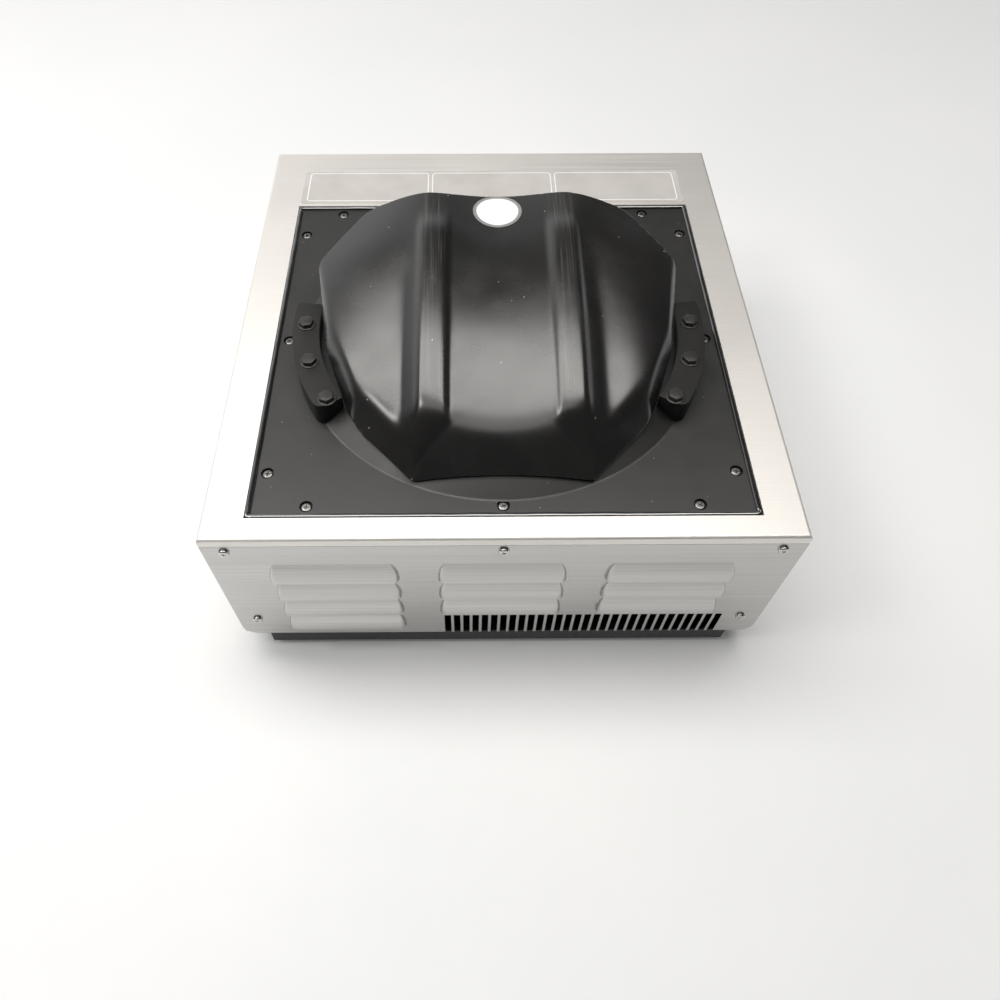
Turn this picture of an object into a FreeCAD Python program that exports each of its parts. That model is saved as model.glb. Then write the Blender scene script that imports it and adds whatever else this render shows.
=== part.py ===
import FreeCAD, Part
import math
import os
import re

import Sketcher
from FreeCAD import Rotation, Vector

# Dry block heater: a stainless bench case with a black deck, a round collar, a ribbed hood over a heated
# tube block, and the fan and electronics inside. Millimetres, +Z up, standing on Z = 0. The louvred rear
# is at -Y and the operator's panel at +Y.

SIZES = {
    # Case
    "case_width": 400,
    "case_depth": 425,
    "case_height": 142,
    "sheet": 1.5,
    "bend_radius": 2.5,
    "lip_height": 7.5,
    "panel_fit": 0.3,
    "rim_width": 24,
    "panel_corner": 11,
    "panel_screw_inset": 15,
    "panel_screw_drop": 14.7,
    "panel_screw_span": 101.3,
    # Base
    "foot_height": 8,
    "foot_radius": 11,
    "foot_side_inset": 50,
    "foot_end_inset": 37.5,
    "foot_stud": 3,
    "plinth_height": 16,
    "plinth_side_inset": 19,
    "plinth_end_inset": 0.8,
    "flange_height": 14,
    "flange_end_inset": 4,
    "base_screw_pitch": 150,
    "base_screw_rise": 8,
    # Screws
    "screw_radius": 2,
    "screw_head": 3.75,
    "screw_head_height": 2.2,
    "screw_length": 10,
    "hole_clearance": 0.1,
    # Rear panel
    "louvre_length": 90,
    "louvre_height": 19,
    "louvre_depth": 5,
    "louvre_pitch_x": 116.5,
    "louvre_pitch_z": 25,
    "louvre_drop": 32,
    "louvre_rows": 3,
    "comb_slot": 5,
    "comb_pitch": 7.15,
    "comb_height": 30,
    "comb_side_inset": 32.15,
    "comb_count": 30,
    # Deck
    "opening_width": 343,
    "opening_depth": 328,
    "rear_border": 17.3,
    "ledge_width": 18,
    "deck_recess": 1.5,
    "deck_thickness": 5,
    "seal_width": 3,
    "seal_stand": 0.8,
    "deck_screw_inset_x": 10.7,
    "deck_screw_inset_y": 10,
    "deck_screw_x": 131.5,
    "deck_screw_y": 126.5,
    "screw_recess": 0.6,
    "screw_recess_radius": 4.5,
    "collar_radius": 150.2,
    "collar_shoulder": 135.6,
    "collar_bore": 128,
    "collar_height": 8,
    "collar_fillet": 3,
    # Clamp bars
    "bar_inner": 134.3,
    "bar_outer": 154,
    "bar_height": 19,
    "bar_forward": 8,
    "bar_sweep": 42,
    "bolt_circle": 144,
    "bolt_first": -1,
    "bolt_step": 15.5,
    "bolt_radius": 3,
    "bolt_head": 5.77,
    "bolt_head_height": 4,
    "nut_height": 5,
    "bolt_tail": 2,
    # Hood
    "hood_wall": 2.5,
    "hood_seat": 0.3,
    "hood_rear": 136.8,
    "hood_rear_half": 62,
    "hood_knee_x": 104,
    "hood_knee_y": -93.8,
    "hood_waist_x": 123,
    "hood_waist_y": -33,
    "hood_corner_x": 136.4,
    "hood_corner_y": 41,
    "hood_shoulder_x": 99,
    "hood_shoulder_y": 86.5,
    "hood_front": 91.5,
    "hood_height": 61.5,
    "hood_level": 51,
    "hood_fall": 30,
    "hood_fall_length": 163,
    "hood_lobe": 50,
    "hood_lobe_fall": 19,
    "hood_lobe_reach": 82,
    "hood_swell": 7,
    "hood_swell_x": 57,
    "hood_swell_width": 34,
    "rib_crest": 48,
    "rib_width": 22,
    "rib_height": 3.5,
    "rib_front": 56,
    "rib_rear": -108,
    "lobe_step": 10,
    "lobe_step_offset": 16,
    "lobe_step_width": 3.2,
    "lobe_step_front": 12,
    "lobe_step_run": 22,
    "brim_rear": 40,
    "brim_run": 22,
    "rear_swell": 0.7,
    "rear_lobe_fall": 8,
    "hood_rear_round": 8,
    "hood_knee_round": 40,
    "hood_waist_round": 60,
    "hood_corner_round": 14,
    "hood_shoulder_round": 26,
    "rim_knee_height": 8,
    "rim_corner_height": 36.5,
    "rear_wall_slope": 0.93,
    "knee_wall_slope": 0.8,
    "waist_wall_slope": 1.5,
    "side_wall_slope": 2.2,
    "crease_softness": 2.2,
    # Heating block
    "block_radius": 124,
    "block_height": 45,
    "block_stand": 3,
    "well_radius": 8.5,
    "well_depth": 38,
    "well_circle": 112,
    "well_step": 14,
    "well_count": 5,
    "gasket_fit": 0.05,
    "gasket_height": 6,
    "mat_thickness": 2,
    "pressure_thickness": 4,
    "pressure_radius": 112,
    "cup_radius": 136,
    "cup_gap": 0.5,
    "cup_floor": 15.5,
    "cup_height": 55,
    "cutout_radius": 12,
    "cutout_height": 8,
    "cutout_tab": 10,
    "access_radius": 25,
    "probe_radius": 2,
    "probe_inner": 80,
    "probe_outer": 150,
    "probe_rise": 17.5,
    "tray_radius": 138,
    "post_radius": 5,
    "post_offset": 74,
    # Fan
    "fan_size": 120,
    "fan_depth": 25,
    "fan_wall": 2.5,
    "fan_screw_inset": 7.5,
    "fan_web": 3,
    "fan_arm": 5,
    "hub_radius": 19,
    "hub_gap": 0.5,
    "fan_floor_gap": 2.5,
    "axle_radius": 1.55,
    "axle_fit": 0.05,
    "blade_gap": 2,
    "blade_count": 7,
    "blade_chord_root": 17,
    "blade_chord_tip": 22,
    "blade_pitch_root": 42,
    "blade_pitch_tip": 27,
    "blade_thickness": 1.6,
    "vent_length": 84,
    "vent_width": 4.5,
    "vent_pitch": 9,
    "vent_count": 9,
    # Power board
    "board_width": 150,
    "board_depth": 75,
    "board_thickness": 1.6,
    "board_gap": 12,
    "board_inset": 5,
    "standoff_height": 8,
    "standoff_radius": 3,
    "transformer_x": -46,
    "transformer_width": 48,
    "transformer_depth": 40,
    "transformer_height": 38,
    "core_width": 26,
    "core_stand": 4,
    "relay_width": 20,
    "relay_depth": 16,
    "relay_height": 20,
    "sink_x": 45,
    "sink_width": 50,
    "sink_depth": 30,
    "sink_height": 40,
    "sink_base": 4,
    "fin_thickness": 2,
    "fin_count": 7,
    "triac_width": 10,
    "triac_thickness": 4.5,
    "triac_height": 15,
    "triac_rise": 5,
    "triac_lead": 0.8,
    "terminal_x": -15,
    "terminal_width": 50,
    "terminal_depth": 14,
    "terminal_height": 16,
    "terminal_pitch": 10,
    "terminal_count": 5,
    "terminal_bore": 2.6,
    # Mains inlet
    "inlet_y": -120,
    "inlet_z": 70,
    "inlet_width": 27.4,
    "inlet_height": 19.8,
    "inlet_depth": 20,
    "inlet_flange_width": 50,
    "inlet_flange_height": 23.5,
    "inlet_flange": 2,
    "inlet_wall": 1.8,
    "inlet_socket": 16,
    "inlet_screw_span": 40,
    "inlet_pin_gap": 7,
    "inlet_pin_drop": 2,
    "inlet_pin_width": 2,
    "inlet_pin_height": 4,
    "inlet_pin_reach": 13,
    # Operator's panel
    "stud_length": 14,
    "stud_radius": 2.5,
    "control_width": 110,
    "control_height": 65,
    "control_z": 70,
    "stud_inset": 5,
    "display_width": 72,
    "display_height": 30,
    "display_depth": 10,
    "display_z": 115,
    "window_border": 4,
    "window_thickness": 2,
    "window_overlap": 5,
    "button_pitch": 30,
    "button_z": 84,
    "button_radius": 6,
    "button_fit": 0.4,
    "button_stand": 2.5,
    "button_flange": 7.5,
    "button_flange_height": 2,
    "button_gap": 0.3,
    "button_stem": 3,
    "button_stem_length": 8.7,
    "switch_size": 12,
    "switch_height": 7.5,
    "switch_floor": 1,
    "switch_fit": 0.1,
    "rocker_x": 140,
    "rocker_z": 95,
    "rocker_width": 18,
    "rocker_half": 12.4,
    "rocker_tilt": 10,
    "rocker_stand": 3.5,
    "rocker_dish": 2.5,
    "rocker_depth": 6,
    "rocker_side_fit": 0.4,
    "rocker_end_fit": 1.3,
    "rocker_pivot": 1.5,
    "rocker_pivot_fit": 0.06,
    "rocker_pivot_depth": 1.5,
    "rocker_bezel": 2,
    "rocker_rim": 2.5,
    "rocker_wall": 1.6,
    "rocker_body_depth": 20,
    "rocker_cavity": 13,
    "knob_x": -130,
    "knob_z": 100,
    "knob_radius": 17,
    "knob_reach": 14,
    "knob_gap": 0.6,
    "knob_recess": 9.5,
    "knob_recess_depth": 4.5,
    "flute_radius": 1.6,
    "flute_count": 16,
    "shaft_radius": 3,
    "shaft_fit": 0.06,
    "shaft_tail": 6,
    "shaft_seat": 7,
    "bush_radius": 4.5,
    "bush_reach": 4,
    "pot_radius": 12,
    "pot_depth": 14,
    "knob_nut": 8,
    "knob_nut_height": 2.5,
}

doc = FreeCAD.newDocument("DryBlockHeater")
sheet = doc.addObject("Spreadsheet::Sheet", "Sizes")
for row, (alias, number) in enumerate(SIZES.items(), start=1):
    sheet.set(f"A{row}", alias)
    sheet.set(f"B{row}", str(number))
    sheet.setAlias(f"B{row}", alias)
doc.recompute()

# Heights and places that several pieces share, written as formulas of the sheet's sizes.
CASE_BOTTOM = "(foot_height + plinth_height)"
CASE_TOP = f"({CASE_BOTTOM} + case_height)"
PANEL_TOP = f"({CASE_TOP} - lip_height - panel_fit)"
SCREW_TOP = f"({CASE_TOP} - panel_screw_drop)"
SCREW_LOW = f"({SCREW_TOP} - panel_screw_span)"
PANEL_SCREW_X = "(case_width/2 - panel_screw_inset)"
PLINTH_WIDTH = "(case_width - 2*plinth_side_inset)"
PLINTH_DEPTH = "(case_depth - 2*plinth_end_inset)"
FLANGE_DEPTH = "(case_depth - 2*flange_end_inset)"
FOOT_X = "(case_width/2 - foot_side_inset)"
FOOT_Y = "(case_depth/2 - foot_end_inset)"
PAN_FLOOR = "(foot_height + sheet)"
DECK_TOP = f"({CASE_TOP} - deck_recess)"
DECK_SEAT = f"({DECK_TOP} - deck_thickness)"
DECK_Y = "(rear_border + opening_depth/2 - case_depth/2)"
BLOCK_TOP = f"({DECK_TOP} + block_stand)"
BLOCK_BOTTOM = f"({BLOCK_TOP} - block_height)"
MAT_BOTTOM = f"({BLOCK_BOTTOM} - mat_thickness)"
PRESSURE_BOTTOM = f"({MAT_BOTTOM} - pressure_thickness)"
TRAY_TOP = f"({PRESSURE_BOTTOM} - cup_floor)"
PANEL_FRONT = "(case_depth/2)"
PANEL_BACK = "(case_depth/2 - sheet)"
CONTROL_FACE = f"({PANEL_BACK} - stud_length)"
BOARD_TOP = f"({PAN_FLOOR} + standoff_height + board_thickness)"
BOARD_Y = f"({FLANGE_DEPTH}/2 - sheet - board_gap - board_depth)"
SCREW_HOLE = "(screw_radius + hole_clearance)"
BOLT_HOLE = "(bolt_radius + hole_clearance)"
FAN_TOP = f"({PAN_FLOOR} + fan_depth)"
FAN_BORE = "(fan_size/2 - fan_wall)"
FAN_SCREW_OFFSET = "(fan_size/2 - fan_screw_inset)"
BLADE_TIP = f"({FAN_BORE} - blade_gap)"
ROCKER_PIVOT_Y = f"({PANEL_FRONT} - sheet)"
# The rear louvres and the knob reach out of the case unevenly; this centres the whole on the origin.
FRAME_SHIFT = "((louvre_depth - knob_reach)/2)"

finished = []


def formula(text):
    """Turn sheet aliases in a formula into references to the sheet's cells."""
    return re.sub(r"[a-z_]\w*", lambda word: f"Sizes.{word[0]}" if word[0] in SIZES else word[0], str(text))


def value(text):
    """The number that a formula of sheet sizes comes to."""
    return float(sheet.evalExpression(formula(text)))


def bind(piece, **formulas):
    for prop, text in formulas.items():
        piece.setExpression(prop, formula(text))


def place(piece, x, y, z):
    for axis, text in zip("xyz", (x, y, z)):
        piece.setExpression(f"Placement.Base.{axis}", formula(text))


def finish(piece, label):
    """Name a finished sub-part and bind its place in the part's frame."""
    piece.Label = label
    piece.setExpression("Placement.Base.y", formula(FRAME_SHIFT))
    finished.append(piece)
    return piece


# Primitive pieces

TURNS = {"z": Rotation(), "y": Rotation(Vector(1, 0, 0), -90), "x": Rotation(Vector(0, 1, 0), 90)}


def box(name, left, right, near, far, low, high):
    piece = doc.addObject("Part::Box", name)
    bind(piece, Length=f"({right}) - ({left})", Width=f"({far}) - ({near})", Height=f"({high}) - ({low})")
    place(piece, left, near, low)
    return piece


def rod(name, axis, x, y, z, length, radius):
    piece = doc.addObject("Part::Cylinder", name)
    bind(piece, Radius=radius, Height=length)
    piece.Placement.Rotation = TURNS[axis]
    place(piece, x, y, z)
    return piece


def hexagon(name, axis, x, y, z, length, radius):
    piece = doc.addObject("Part::Prism", name)
    piece.Polygon = 6
    bind(piece, Circumradius=radius, Height=length)
    piece.Placement.Rotation = TURNS[axis]
    place(piece, x, y, z)
    return piece


def fuse(name, pieces):
    joined = doc.addObject("Part::MultiFuse", name)
    joined.Shapes = pieces
    return joined


def cut(name, base, tool):
    remainder = doc.addObject("Part::Cut", name)
    remainder.Base = base
    remainder.Tool = tool
    return remainder


def group(name, pieces):
    together = doc.addObject("Part::Compound", name)
    together.Links = pieces
    return together


# Sketched bodies

def new_body(name):
    return doc.addObject("PartDesign::Body", name)


def origin_feature(body, role):
    return next(feature for feature in body.Origin.OriginFeatures if feature.Role == role)


def new_sketch(body, plane, offset="0"):
    """A sketch on one of the body's origin planes, moved along the plane's normal."""
    sketch = body.newObject("Sketcher::SketchObject", f"{body.Name}Sketch")
    sketch.AttachmentSupport = [(origin_feature(body, plane), "")]
    sketch.MapMode = "FlatFace"
    sketch.setExpression("AttachmentOffset.Base.z", formula(offset))
    return sketch


def pin(sketch, geometry, point, x, y):
    """Bind a sketch point's place to two formulas."""
    for kind, text in (("DistanceX", x), ("DistanceY", y)):
        index = sketch.addConstraint(Sketcher.Constraint(kind, -1, 1, geometry, point, value(text)))
        sketch.setExpression(f"Constraints[{index}]", formula(text))


def polygon(sketch, *corners):
    spots = [Vector(value(x), value(y), 0) for x, y in corners]
    sides = zip(spots, spots[1:] + spots[:1])
    lines = [sketch.addGeometry(Part.LineSegment(start, end)) for start, end in sides]
    for line, following in zip(lines, lines[1:] + lines[:1]):
        sketch.addConstraint(Sketcher.Constraint("Coincident", line, 2, following, 1))
    for line, (x, y) in zip(lines, corners):
        pin(sketch, line, 1, x, y)


def rectangle(sketch, left, right, low, high):
    polygon(sketch, (left, low), (right, low), (right, high), (left, high))


def circle(sketch, x, y, radius):
    centre = Vector(value(x), value(y), 0)
    ring = sketch.addGeometry(Part.Circle(centre, Vector(0, 0, 1), value(radius)))
    pin(sketch, ring, 3, x, y)
    index = sketch.addConstraint(Sketcher.Constraint("Radius", ring, value(radius)))
    sketch.setExpression(f"Constraints[{index}]", formula(radius))


def pad(body, sketch, length, reverse=False):
    feature = body.newObject("PartDesign::Pad", f"{body.Name}Pad")
    feature.Profile = sketch
    feature.Reversed = reverse
    bind(feature, Length=length)
    return feature


def pocket(body, sketch, depth, reverse=False):
    feature = body.newObject("PartDesign::Pocket", f"{body.Name}Pocket")
    feature.Profile = sketch
    feature.Reversed = reverse
    bind(feature, Length=depth)
    return feature


def through(body, sketch, both_ways=False, reverse=False):
    feature = body.newObject("PartDesign::Pocket", f"{body.Name}Through")
    feature.Profile = sketch
    feature.Type = "ThroughAll"
    feature.Reversed = reverse
    if both_ways:
        feature.SideType = "Symmetric"
    return feature


def round_edges(body, radius, chosen):
    """Fillet the edges of the body's tip that a test picks by their two ends."""
    doc.recompute()
    base = body.Tip
    names = [f"Edge{number}" for number, edge in enumerate(base.Shape.Edges, start=1)
             if chosen(edge.firstVertex().Point, edge.lastVertex().Point)]
    feature = body.newObject("PartDesign::Fillet", f"{body.Name}Fillet")
    feature.Base = (base, names)
    bind(feature, Radius=radius)
    return feature


def row_of(body, feature, axis, pitch, count):
    pattern = body.newObject("PartDesign::LinearPattern", f"{body.Name}Row")
    pattern.Originals = [feature]
    pattern.Direction = (origin_feature(body, axis), [""])
    pattern.Mode = "Spacing"
    bind(pattern, Offset=pitch, Occurrences=count)
    body.Tip = pattern
    return pattern


def ring_of(body, feature, axis, count):
    pattern = body.newObject("PartDesign::PolarPattern", f"{body.Name}Ring")
    pattern.Originals = [feature]
    pattern.Axis = (origin_feature(body, axis), [""])
    pattern.Angle = 360
    bind(pattern, Occurrences=count)
    body.Tip = pattern
    return pattern


def near(first, second):
    return abs(first - second) < 1e-4


# Screws: a pan head and a plain shank along the axis, the head's seat at the given place

def screw(name, axis, x, y, z, sense, length):
    """A screw whose head stands off its seat by `sense` (+1 or -1) along the axis."""
    start = {"x": x, "y": y, "z": z}
    head = dict(start)
    shank = dict(start)
    if sense > 0:
        shank[axis] = f"({start[axis]}) - ({length})"
    else:
        head[axis] = f"({start[axis]}) - screw_head_height"
    parts = [rod(f"{name}Head", axis, head["x"], head["y"], head["z"], "screw_head_height", "screw_head"),
             rod(f"{name}Shank", axis, shank["x"], shank["y"], shank["z"], length, "screw_radius")]
    return fuse(name, parts)


PANEL_SCREWS = [(PANEL_SCREW_X, SCREW_TOP), (f"-{PANEL_SCREW_X}", SCREW_TOP), ("0", SCREW_TOP),
                (PANEL_SCREW_X, SCREW_LOW), (f"-{PANEL_SCREW_X}", SCREW_LOW)]
BASE_SCREWS = ["-base_screw_pitch", "0", "base_screw_pitch"]
DECK_SCREW_X = "(opening_width/2 - deck_screw_inset_x)"
DECK_SCREW_Y = "(opening_depth/2 - deck_screw_inset_y)"
DECK_SCREWS = [(x, f"{DECK_Y} {side} {DECK_SCREW_Y}")
               for side in "+-" for x in ("-deck_screw_x", "0", "deck_screw_x")]
DECK_SCREWS += [(f"{side}{DECK_SCREW_X}", f"{DECK_Y} + ({y})")
                for side in "+-" for y in ("-deck_screw_y", "0", "deck_screw_y")]
FEET = [(f"{a}{FOOT_X}", f"{b}{FOOT_Y}") for a in "+-" for b in "+-"]
INLET_SCREWS = ["inlet_y - inlet_screw_span/2", "inlet_y + inlet_screw_span/2"]


# Case

def top_cover():
    """Stainless top and side walls, with rims for both end panels and a sunken ledge for the deck."""
    body = new_body("TopCover")
    blank = new_sketch(body, "XY_Plane", CASE_BOTTOM)
    rectangle(blank, "-case_width/2", "case_width/2", "-case_depth/2", "case_depth/2")
    pad(body, blank, "case_height")
    top = value(CASE_TOP)
    round_edges(body, "bend_radius", lambda a, b: near(a.z, top) and near(b.z, top))
    hollow = new_sketch(body, "XY_Plane", CASE_BOTTOM)
    rectangle(hollow, "sheet - case_width/2", "case_width/2 - sheet",
              "2*sheet - case_depth/2", "case_depth/2 - 2*sheet")
    pocket(body, hollow, "case_height - sheet", reverse=True)
    recess = new_sketch(body, "XY_Plane", CASE_BOTTOM)
    rectangle(recess, "-case_width", "case_width", "-case_depth", "sheet - case_depth/2")
    rectangle(recess, "-case_width", "case_width", "case_depth/2 - sheet", "case_depth")
    pocket(body, recess, "case_height - lip_height", reverse=True)
    windows = new_sketch(body, "XZ_Plane")
    rectangle(windows, "rim_width - case_width/2", "case_width/2 - rim_width",
              f"{CASE_BOTTOM} - sheet", f"{CASE_TOP} - lip_height - rim_width")
    through(body, windows, both_ways=True)
    ledge = new_sketch(body, "XY_Plane", f"{DECK_SEAT} - sheet")
    rectangle(ledge, "-opening_width/2 - sheet", "opening_width/2 + sheet",
              f"{DECK_Y} - opening_depth/2 - sheet", f"{DECK_Y} + opening_depth/2 + sheet")
    pad(body, ledge, f"{CASE_TOP} - {DECK_SEAT}")
    opening = new_sketch(body, "XY_Plane", CASE_TOP)
    rectangle(opening, "-opening_width/2", "opening_width/2",
              f"{DECK_Y} - opening_depth/2", f"{DECK_Y} + opening_depth/2")
    pocket(body, opening, f"{CASE_TOP} - {DECK_SEAT}")
    aperture = new_sketch(body, "XY_Plane", CASE_TOP)
    rectangle(aperture, "ledge_width - opening_width/2", "opening_width/2 - ledge_width",
              f"{DECK_Y} - opening_depth/2 + ledge_width", f"{DECK_Y} + opening_depth/2 - ledge_width")
    through(body, aperture)
    deck_holes = new_sketch(body, "XY_Plane", CASE_TOP)
    for x, y in DECK_SCREWS:
        circle(deck_holes, x, y, SCREW_HOLE)
    through(body, deck_holes)
    panel_holes = new_sketch(body, "XZ_Plane")
    for x, z in PANEL_SCREWS:
        circle(panel_holes, x, z, SCREW_HOLE)
    through(body, panel_holes, both_ways=True)
    side_holes = new_sketch(body, "YZ_Plane")
    for y in BASE_SCREWS:
        circle(side_holes, y, f"{CASE_BOTTOM} + base_screw_rise", SCREW_HOLE)
    through(body, side_holes, both_ways=True)
    inlet_hole = new_sketch(body, "YZ_Plane")
    rectangle(inlet_hole, "inlet_y - inlet_width/2 - panel_fit", "inlet_y + inlet_width/2 + panel_fit",
              "inlet_z - inlet_height/2 - panel_fit", "inlet_z + inlet_height/2 + panel_fit")
    for y in INLET_SCREWS:
        circle(inlet_hole, y, "inlet_z", SCREW_HOLE)
    through(body, inlet_hole)
    return finish(body, "top_cover")


def end_panel(name, offset, reverse):
    """A flat end panel with rounded lower corners and its five screw holes."""
    body = new_body(name)
    outline = new_sketch(body, "XZ_Plane", offset)
    rectangle(outline, "-case_width/2", "case_width/2", CASE_BOTTOM, PANEL_TOP)
    pad(body, outline, "sheet", reverse)
    low = value(CASE_BOTTOM)
    round_edges(body, "panel_corner", lambda a, b: near(a.z, low) and near(b.z, low) and near(a.x, b.x))
    holes = new_sketch(body, "XZ_Plane")
    for x, z in PANEL_SCREWS:
        circle(holes, x, z, SCREW_HOLE)
    through(body, holes, both_ways=True)
    return body


def louvre(inset):
    """One pressed louvre as a solid: a swelling strip with quarter-round ends, open along its lower lip.

    It is drawn with its top at the origin, on the panel's outer face, and grows towards -Y. A positive
    inset gives the space under the sheet."""
    height = value("louvre_height")
    depth = value("louvre_depth")
    half = value("louvre_length/2 - louvre_depth")
    arc_radius = (depth ** 2 + height ** 2) / (2 * depth)
    centre_y = arc_radius - depth
    shrunk = arc_radius - inset

    def on_arc(angle):
        return Vector(half, centre_y - shrunk * math.cos(angle), shrunk * math.sin(angle) - height)

    meeting = math.acos(centre_y / shrunk)
    top, middle, lip = on_arc(meeting), on_arc(meeting / 2), on_arc(0)
    foot = Vector(half, 0, -height)
    edges = [Part.Arc(top, middle, lip).toShape(), Part.makeLine(lip, foot), Part.makeLine(foot, top)]
    profile = Part.Face(Part.Wire(edges))
    strip = profile.extrude(Vector(-2 * half, 0, 0))
    right_end = profile.revolve(foot, Vector(0, 0, 1), 90)
    left_end = right_end.mirror(Vector(), Vector(1, 0, 0))
    return strip.multiFuse([right_end, left_end]).removeSplitter()


def louvre_spots():
    """The top middle of each louvre: three even groups, and one more in the left group under the rest."""
    rows = int(value("louvre_rows"))
    face = value("-case_depth/2")
    first = value(f"{CASE_TOP} - louvre_drop")
    spots = [(column, line) for column in (-1, 0, 1) for line in range(rows)] + [(-1, rows)]
    return [Vector(column * value("louvre_pitch_x"), face, first - line * value("louvre_pitch_z"))
            for column, line in spots]


COMB_START = "(case_width/2 - comb_side_inset - (comb_count - 1)*comb_pitch)"


def rear_panel():
    """Stainless rear panel: pressed louvres, and a comb of slots along part of its lower edge."""
    sheet_body = end_panel("RearSheet", PANEL_FRONT, True)
    slot = new_sketch(sheet_body, "XZ_Plane")
    rectangle(slot, f"{COMB_START} - comb_slot/2", f"{COMB_START} + comb_slot/2",
              f"{CASE_BOTTOM} - sheet", f"{CASE_BOTTOM} + comb_height")
    comb_tooth = through(sheet_body, slot, both_ways=True)
    row_of(sheet_body, comb_tooth, "X_Axis", "comb_pitch", "comb_count")
    outer = louvre(0)
    inner = louvre(value("sheet"))
    mouth = inner.fuse(inner.translated(Vector(0, value("sheet"), 0)))
    hoods = doc.addObject("Part::Feature", "LouvreHoods")
    hoods.Shape = Part.makeCompound([outer.cut(inner).translated(spot) for spot in louvre_spots()])
    mouths = doc.addObject("Part::Feature", "LouvreMouths")
    mouths.Shape = Part.makeCompound([mouth.translated(spot) for spot in louvre_spots()])
    opened = cut("RearOpened", sheet_body, mouths)
    return finish(fuse("RearPanel", [opened, hoods]), "rear_panel")


def front_panel():
    """Stainless operator's panel with cut-outs for the display, buttons, knob and rocker."""
    body = end_panel("FrontPanel", f"-{PANEL_FRONT}", False)
    openings = new_sketch(body, "XZ_Plane")
    rectangle(openings, "window_border/2 - display_width/2", "display_width/2 - window_border/2",
              "display_z + window_border/2 - display_height/2",
              "display_z + display_height/2 - window_border/2")
    for x in ("-button_pitch", "0", "button_pitch"):
        circle(openings, x, "button_z", "button_radius + button_fit")
    circle(openings, "knob_x", "knob_z", "bush_radius + hole_clearance")
    rectangle(openings, f"rocker_x - {ROCKER_HALF_WIDTH} - hole_clearance",
              f"rocker_x + {ROCKER_HALF_WIDTH} + hole_clearance",
              f"rocker_z - {ROCKER_HALF_HEIGHT} - hole_clearance",
              f"rocker_z + {ROCKER_HALF_HEIGHT} + hole_clearance")
    through(body, openings, both_ways=True)
    return finish(body, "front_panel")


def base_pan():
    """Black steel pan: a tub that shows as the plinth, with a flange turned up inside the side walls.

    Its end walls stop under the lower edges of the end panels, and its flanges stop short of them."""
    body = new_body("BasePan")
    flange_half = "(case_width/2 - sheet - panel_fit)"
    tub = new_sketch(body, "XY_Plane", "foot_height")
    rectangle(tub, f"-{PLINTH_WIDTH}/2", f"{PLINTH_WIDTH}/2", f"-{PLINTH_DEPTH}/2", f"{PLINTH_DEPTH}/2")
    pad(body, tub, "plinth_height - panel_fit")
    sides = new_sketch(body, "XY_Plane", "foot_height")
    rectangle(sides, f"-{PLINTH_WIDTH}/2", f"{PLINTH_WIDTH}/2", f"-{FLANGE_DEPTH}/2", f"{FLANGE_DEPTH}/2")
    pad(body, sides, "plinth_height + sheet")
    flange = new_sketch(body, "XY_Plane", CASE_BOTTOM)
    rectangle(flange, f"-{flange_half}", flange_half, f"-{FLANGE_DEPTH}/2", f"{FLANGE_DEPTH}/2")
    pad(body, flange, "flange_height")
    inside = new_sketch(body, "XY_Plane", f"{CASE_BOTTOM} + flange_height")
    rectangle(inside, f"sheet - {flange_half}", f"{flange_half} - sheet", f"-{FLANGE_DEPTH}", FLANGE_DEPTH)
    pocket(body, inside, "flange_height - sheet")
    hollow = new_sketch(body, "XY_Plane", f"{CASE_BOTTOM} + sheet")
    rectangle(hollow, f"sheet - {PLINTH_WIDTH}/2", f"{PLINTH_WIDTH}/2 - sheet",
              f"sheet - {PLINTH_DEPTH}/2", f"{PLINTH_DEPTH}/2 - sheet")
    pocket(body, hollow, "plinth_height")
    vent = new_sketch(body, "XY_Plane", PAN_FLOOR)
    first_vent = "(vent_pitch*(vent_count - 1)/2)"
    rectangle(vent, "-vent_length/2", "vent_length/2",
              f"{DECK_Y} - {first_vent} - vent_width/2", f"{DECK_Y} - {first_vent} + vent_width/2")
    slot = through(body, vent)
    row_of(body, slot, "Y_Axis", "vent_pitch", "vent_count")
    floor_holes = new_sketch(body, "XY_Plane", PAN_FLOOR)
    for x, y in FEET:
        circle(floor_holes, x, y, "foot_stud + hole_clearance")
    for x, y in FAN_SCREWS:
        circle(floor_holes, x, y, SCREW_HOLE)
    through(body, floor_holes)
    side_holes = new_sketch(body, "YZ_Plane")
    for y in BASE_SCREWS:
        circle(side_holes, y, f"{CASE_BOTTOM} + base_screw_rise", SCREW_HOLE)
    through(body, side_holes, both_ways=True)
    return finish(body, "base_pan")


def feet():
    """Four rubber feet, each held by a stud pressed through the pan's floor."""
    made = []
    for x, y in FEET:
        pad_piece = rod("FootPad", "z", x, y, "0", "foot_height", "foot_radius")
        stud = rod("FootStud", "z", x, y, "0", f"{PAN_FLOOR} + sheet", "foot_stud")
        made.append(fuse("Foot", [pad_piece, stud]))
    return finish(group("Feet", made), "feet")


def case_screws():
    rear = [screw("RearScrew", "y", x, "-case_depth/2", z, -1, "screw_length") for x, z in PANEL_SCREWS]
    finish(group("RearScrews", rear), "rear_panel_screws")
    front = [screw("FrontScrew", "y", x, PANEL_FRONT, z, 1, "screw_length") for x, z in PANEL_SCREWS]
    finish(group("FrontScrews", front), "front_panel_screws")
    rise = f"{CASE_BOTTOM} + base_screw_rise"
    left = [screw("BaseScrew", "x", "-case_width/2", y, rise, -1, "screw_length") for y in BASE_SCREWS]
    right = [screw("BaseScrew", "x", "case_width/2", y, rise, 1, "screw_length") for y in BASE_SCREWS]
    finish(group("BaseScrews", left + right), "base_screws")


# Deck, collar, clamps and hood

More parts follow.
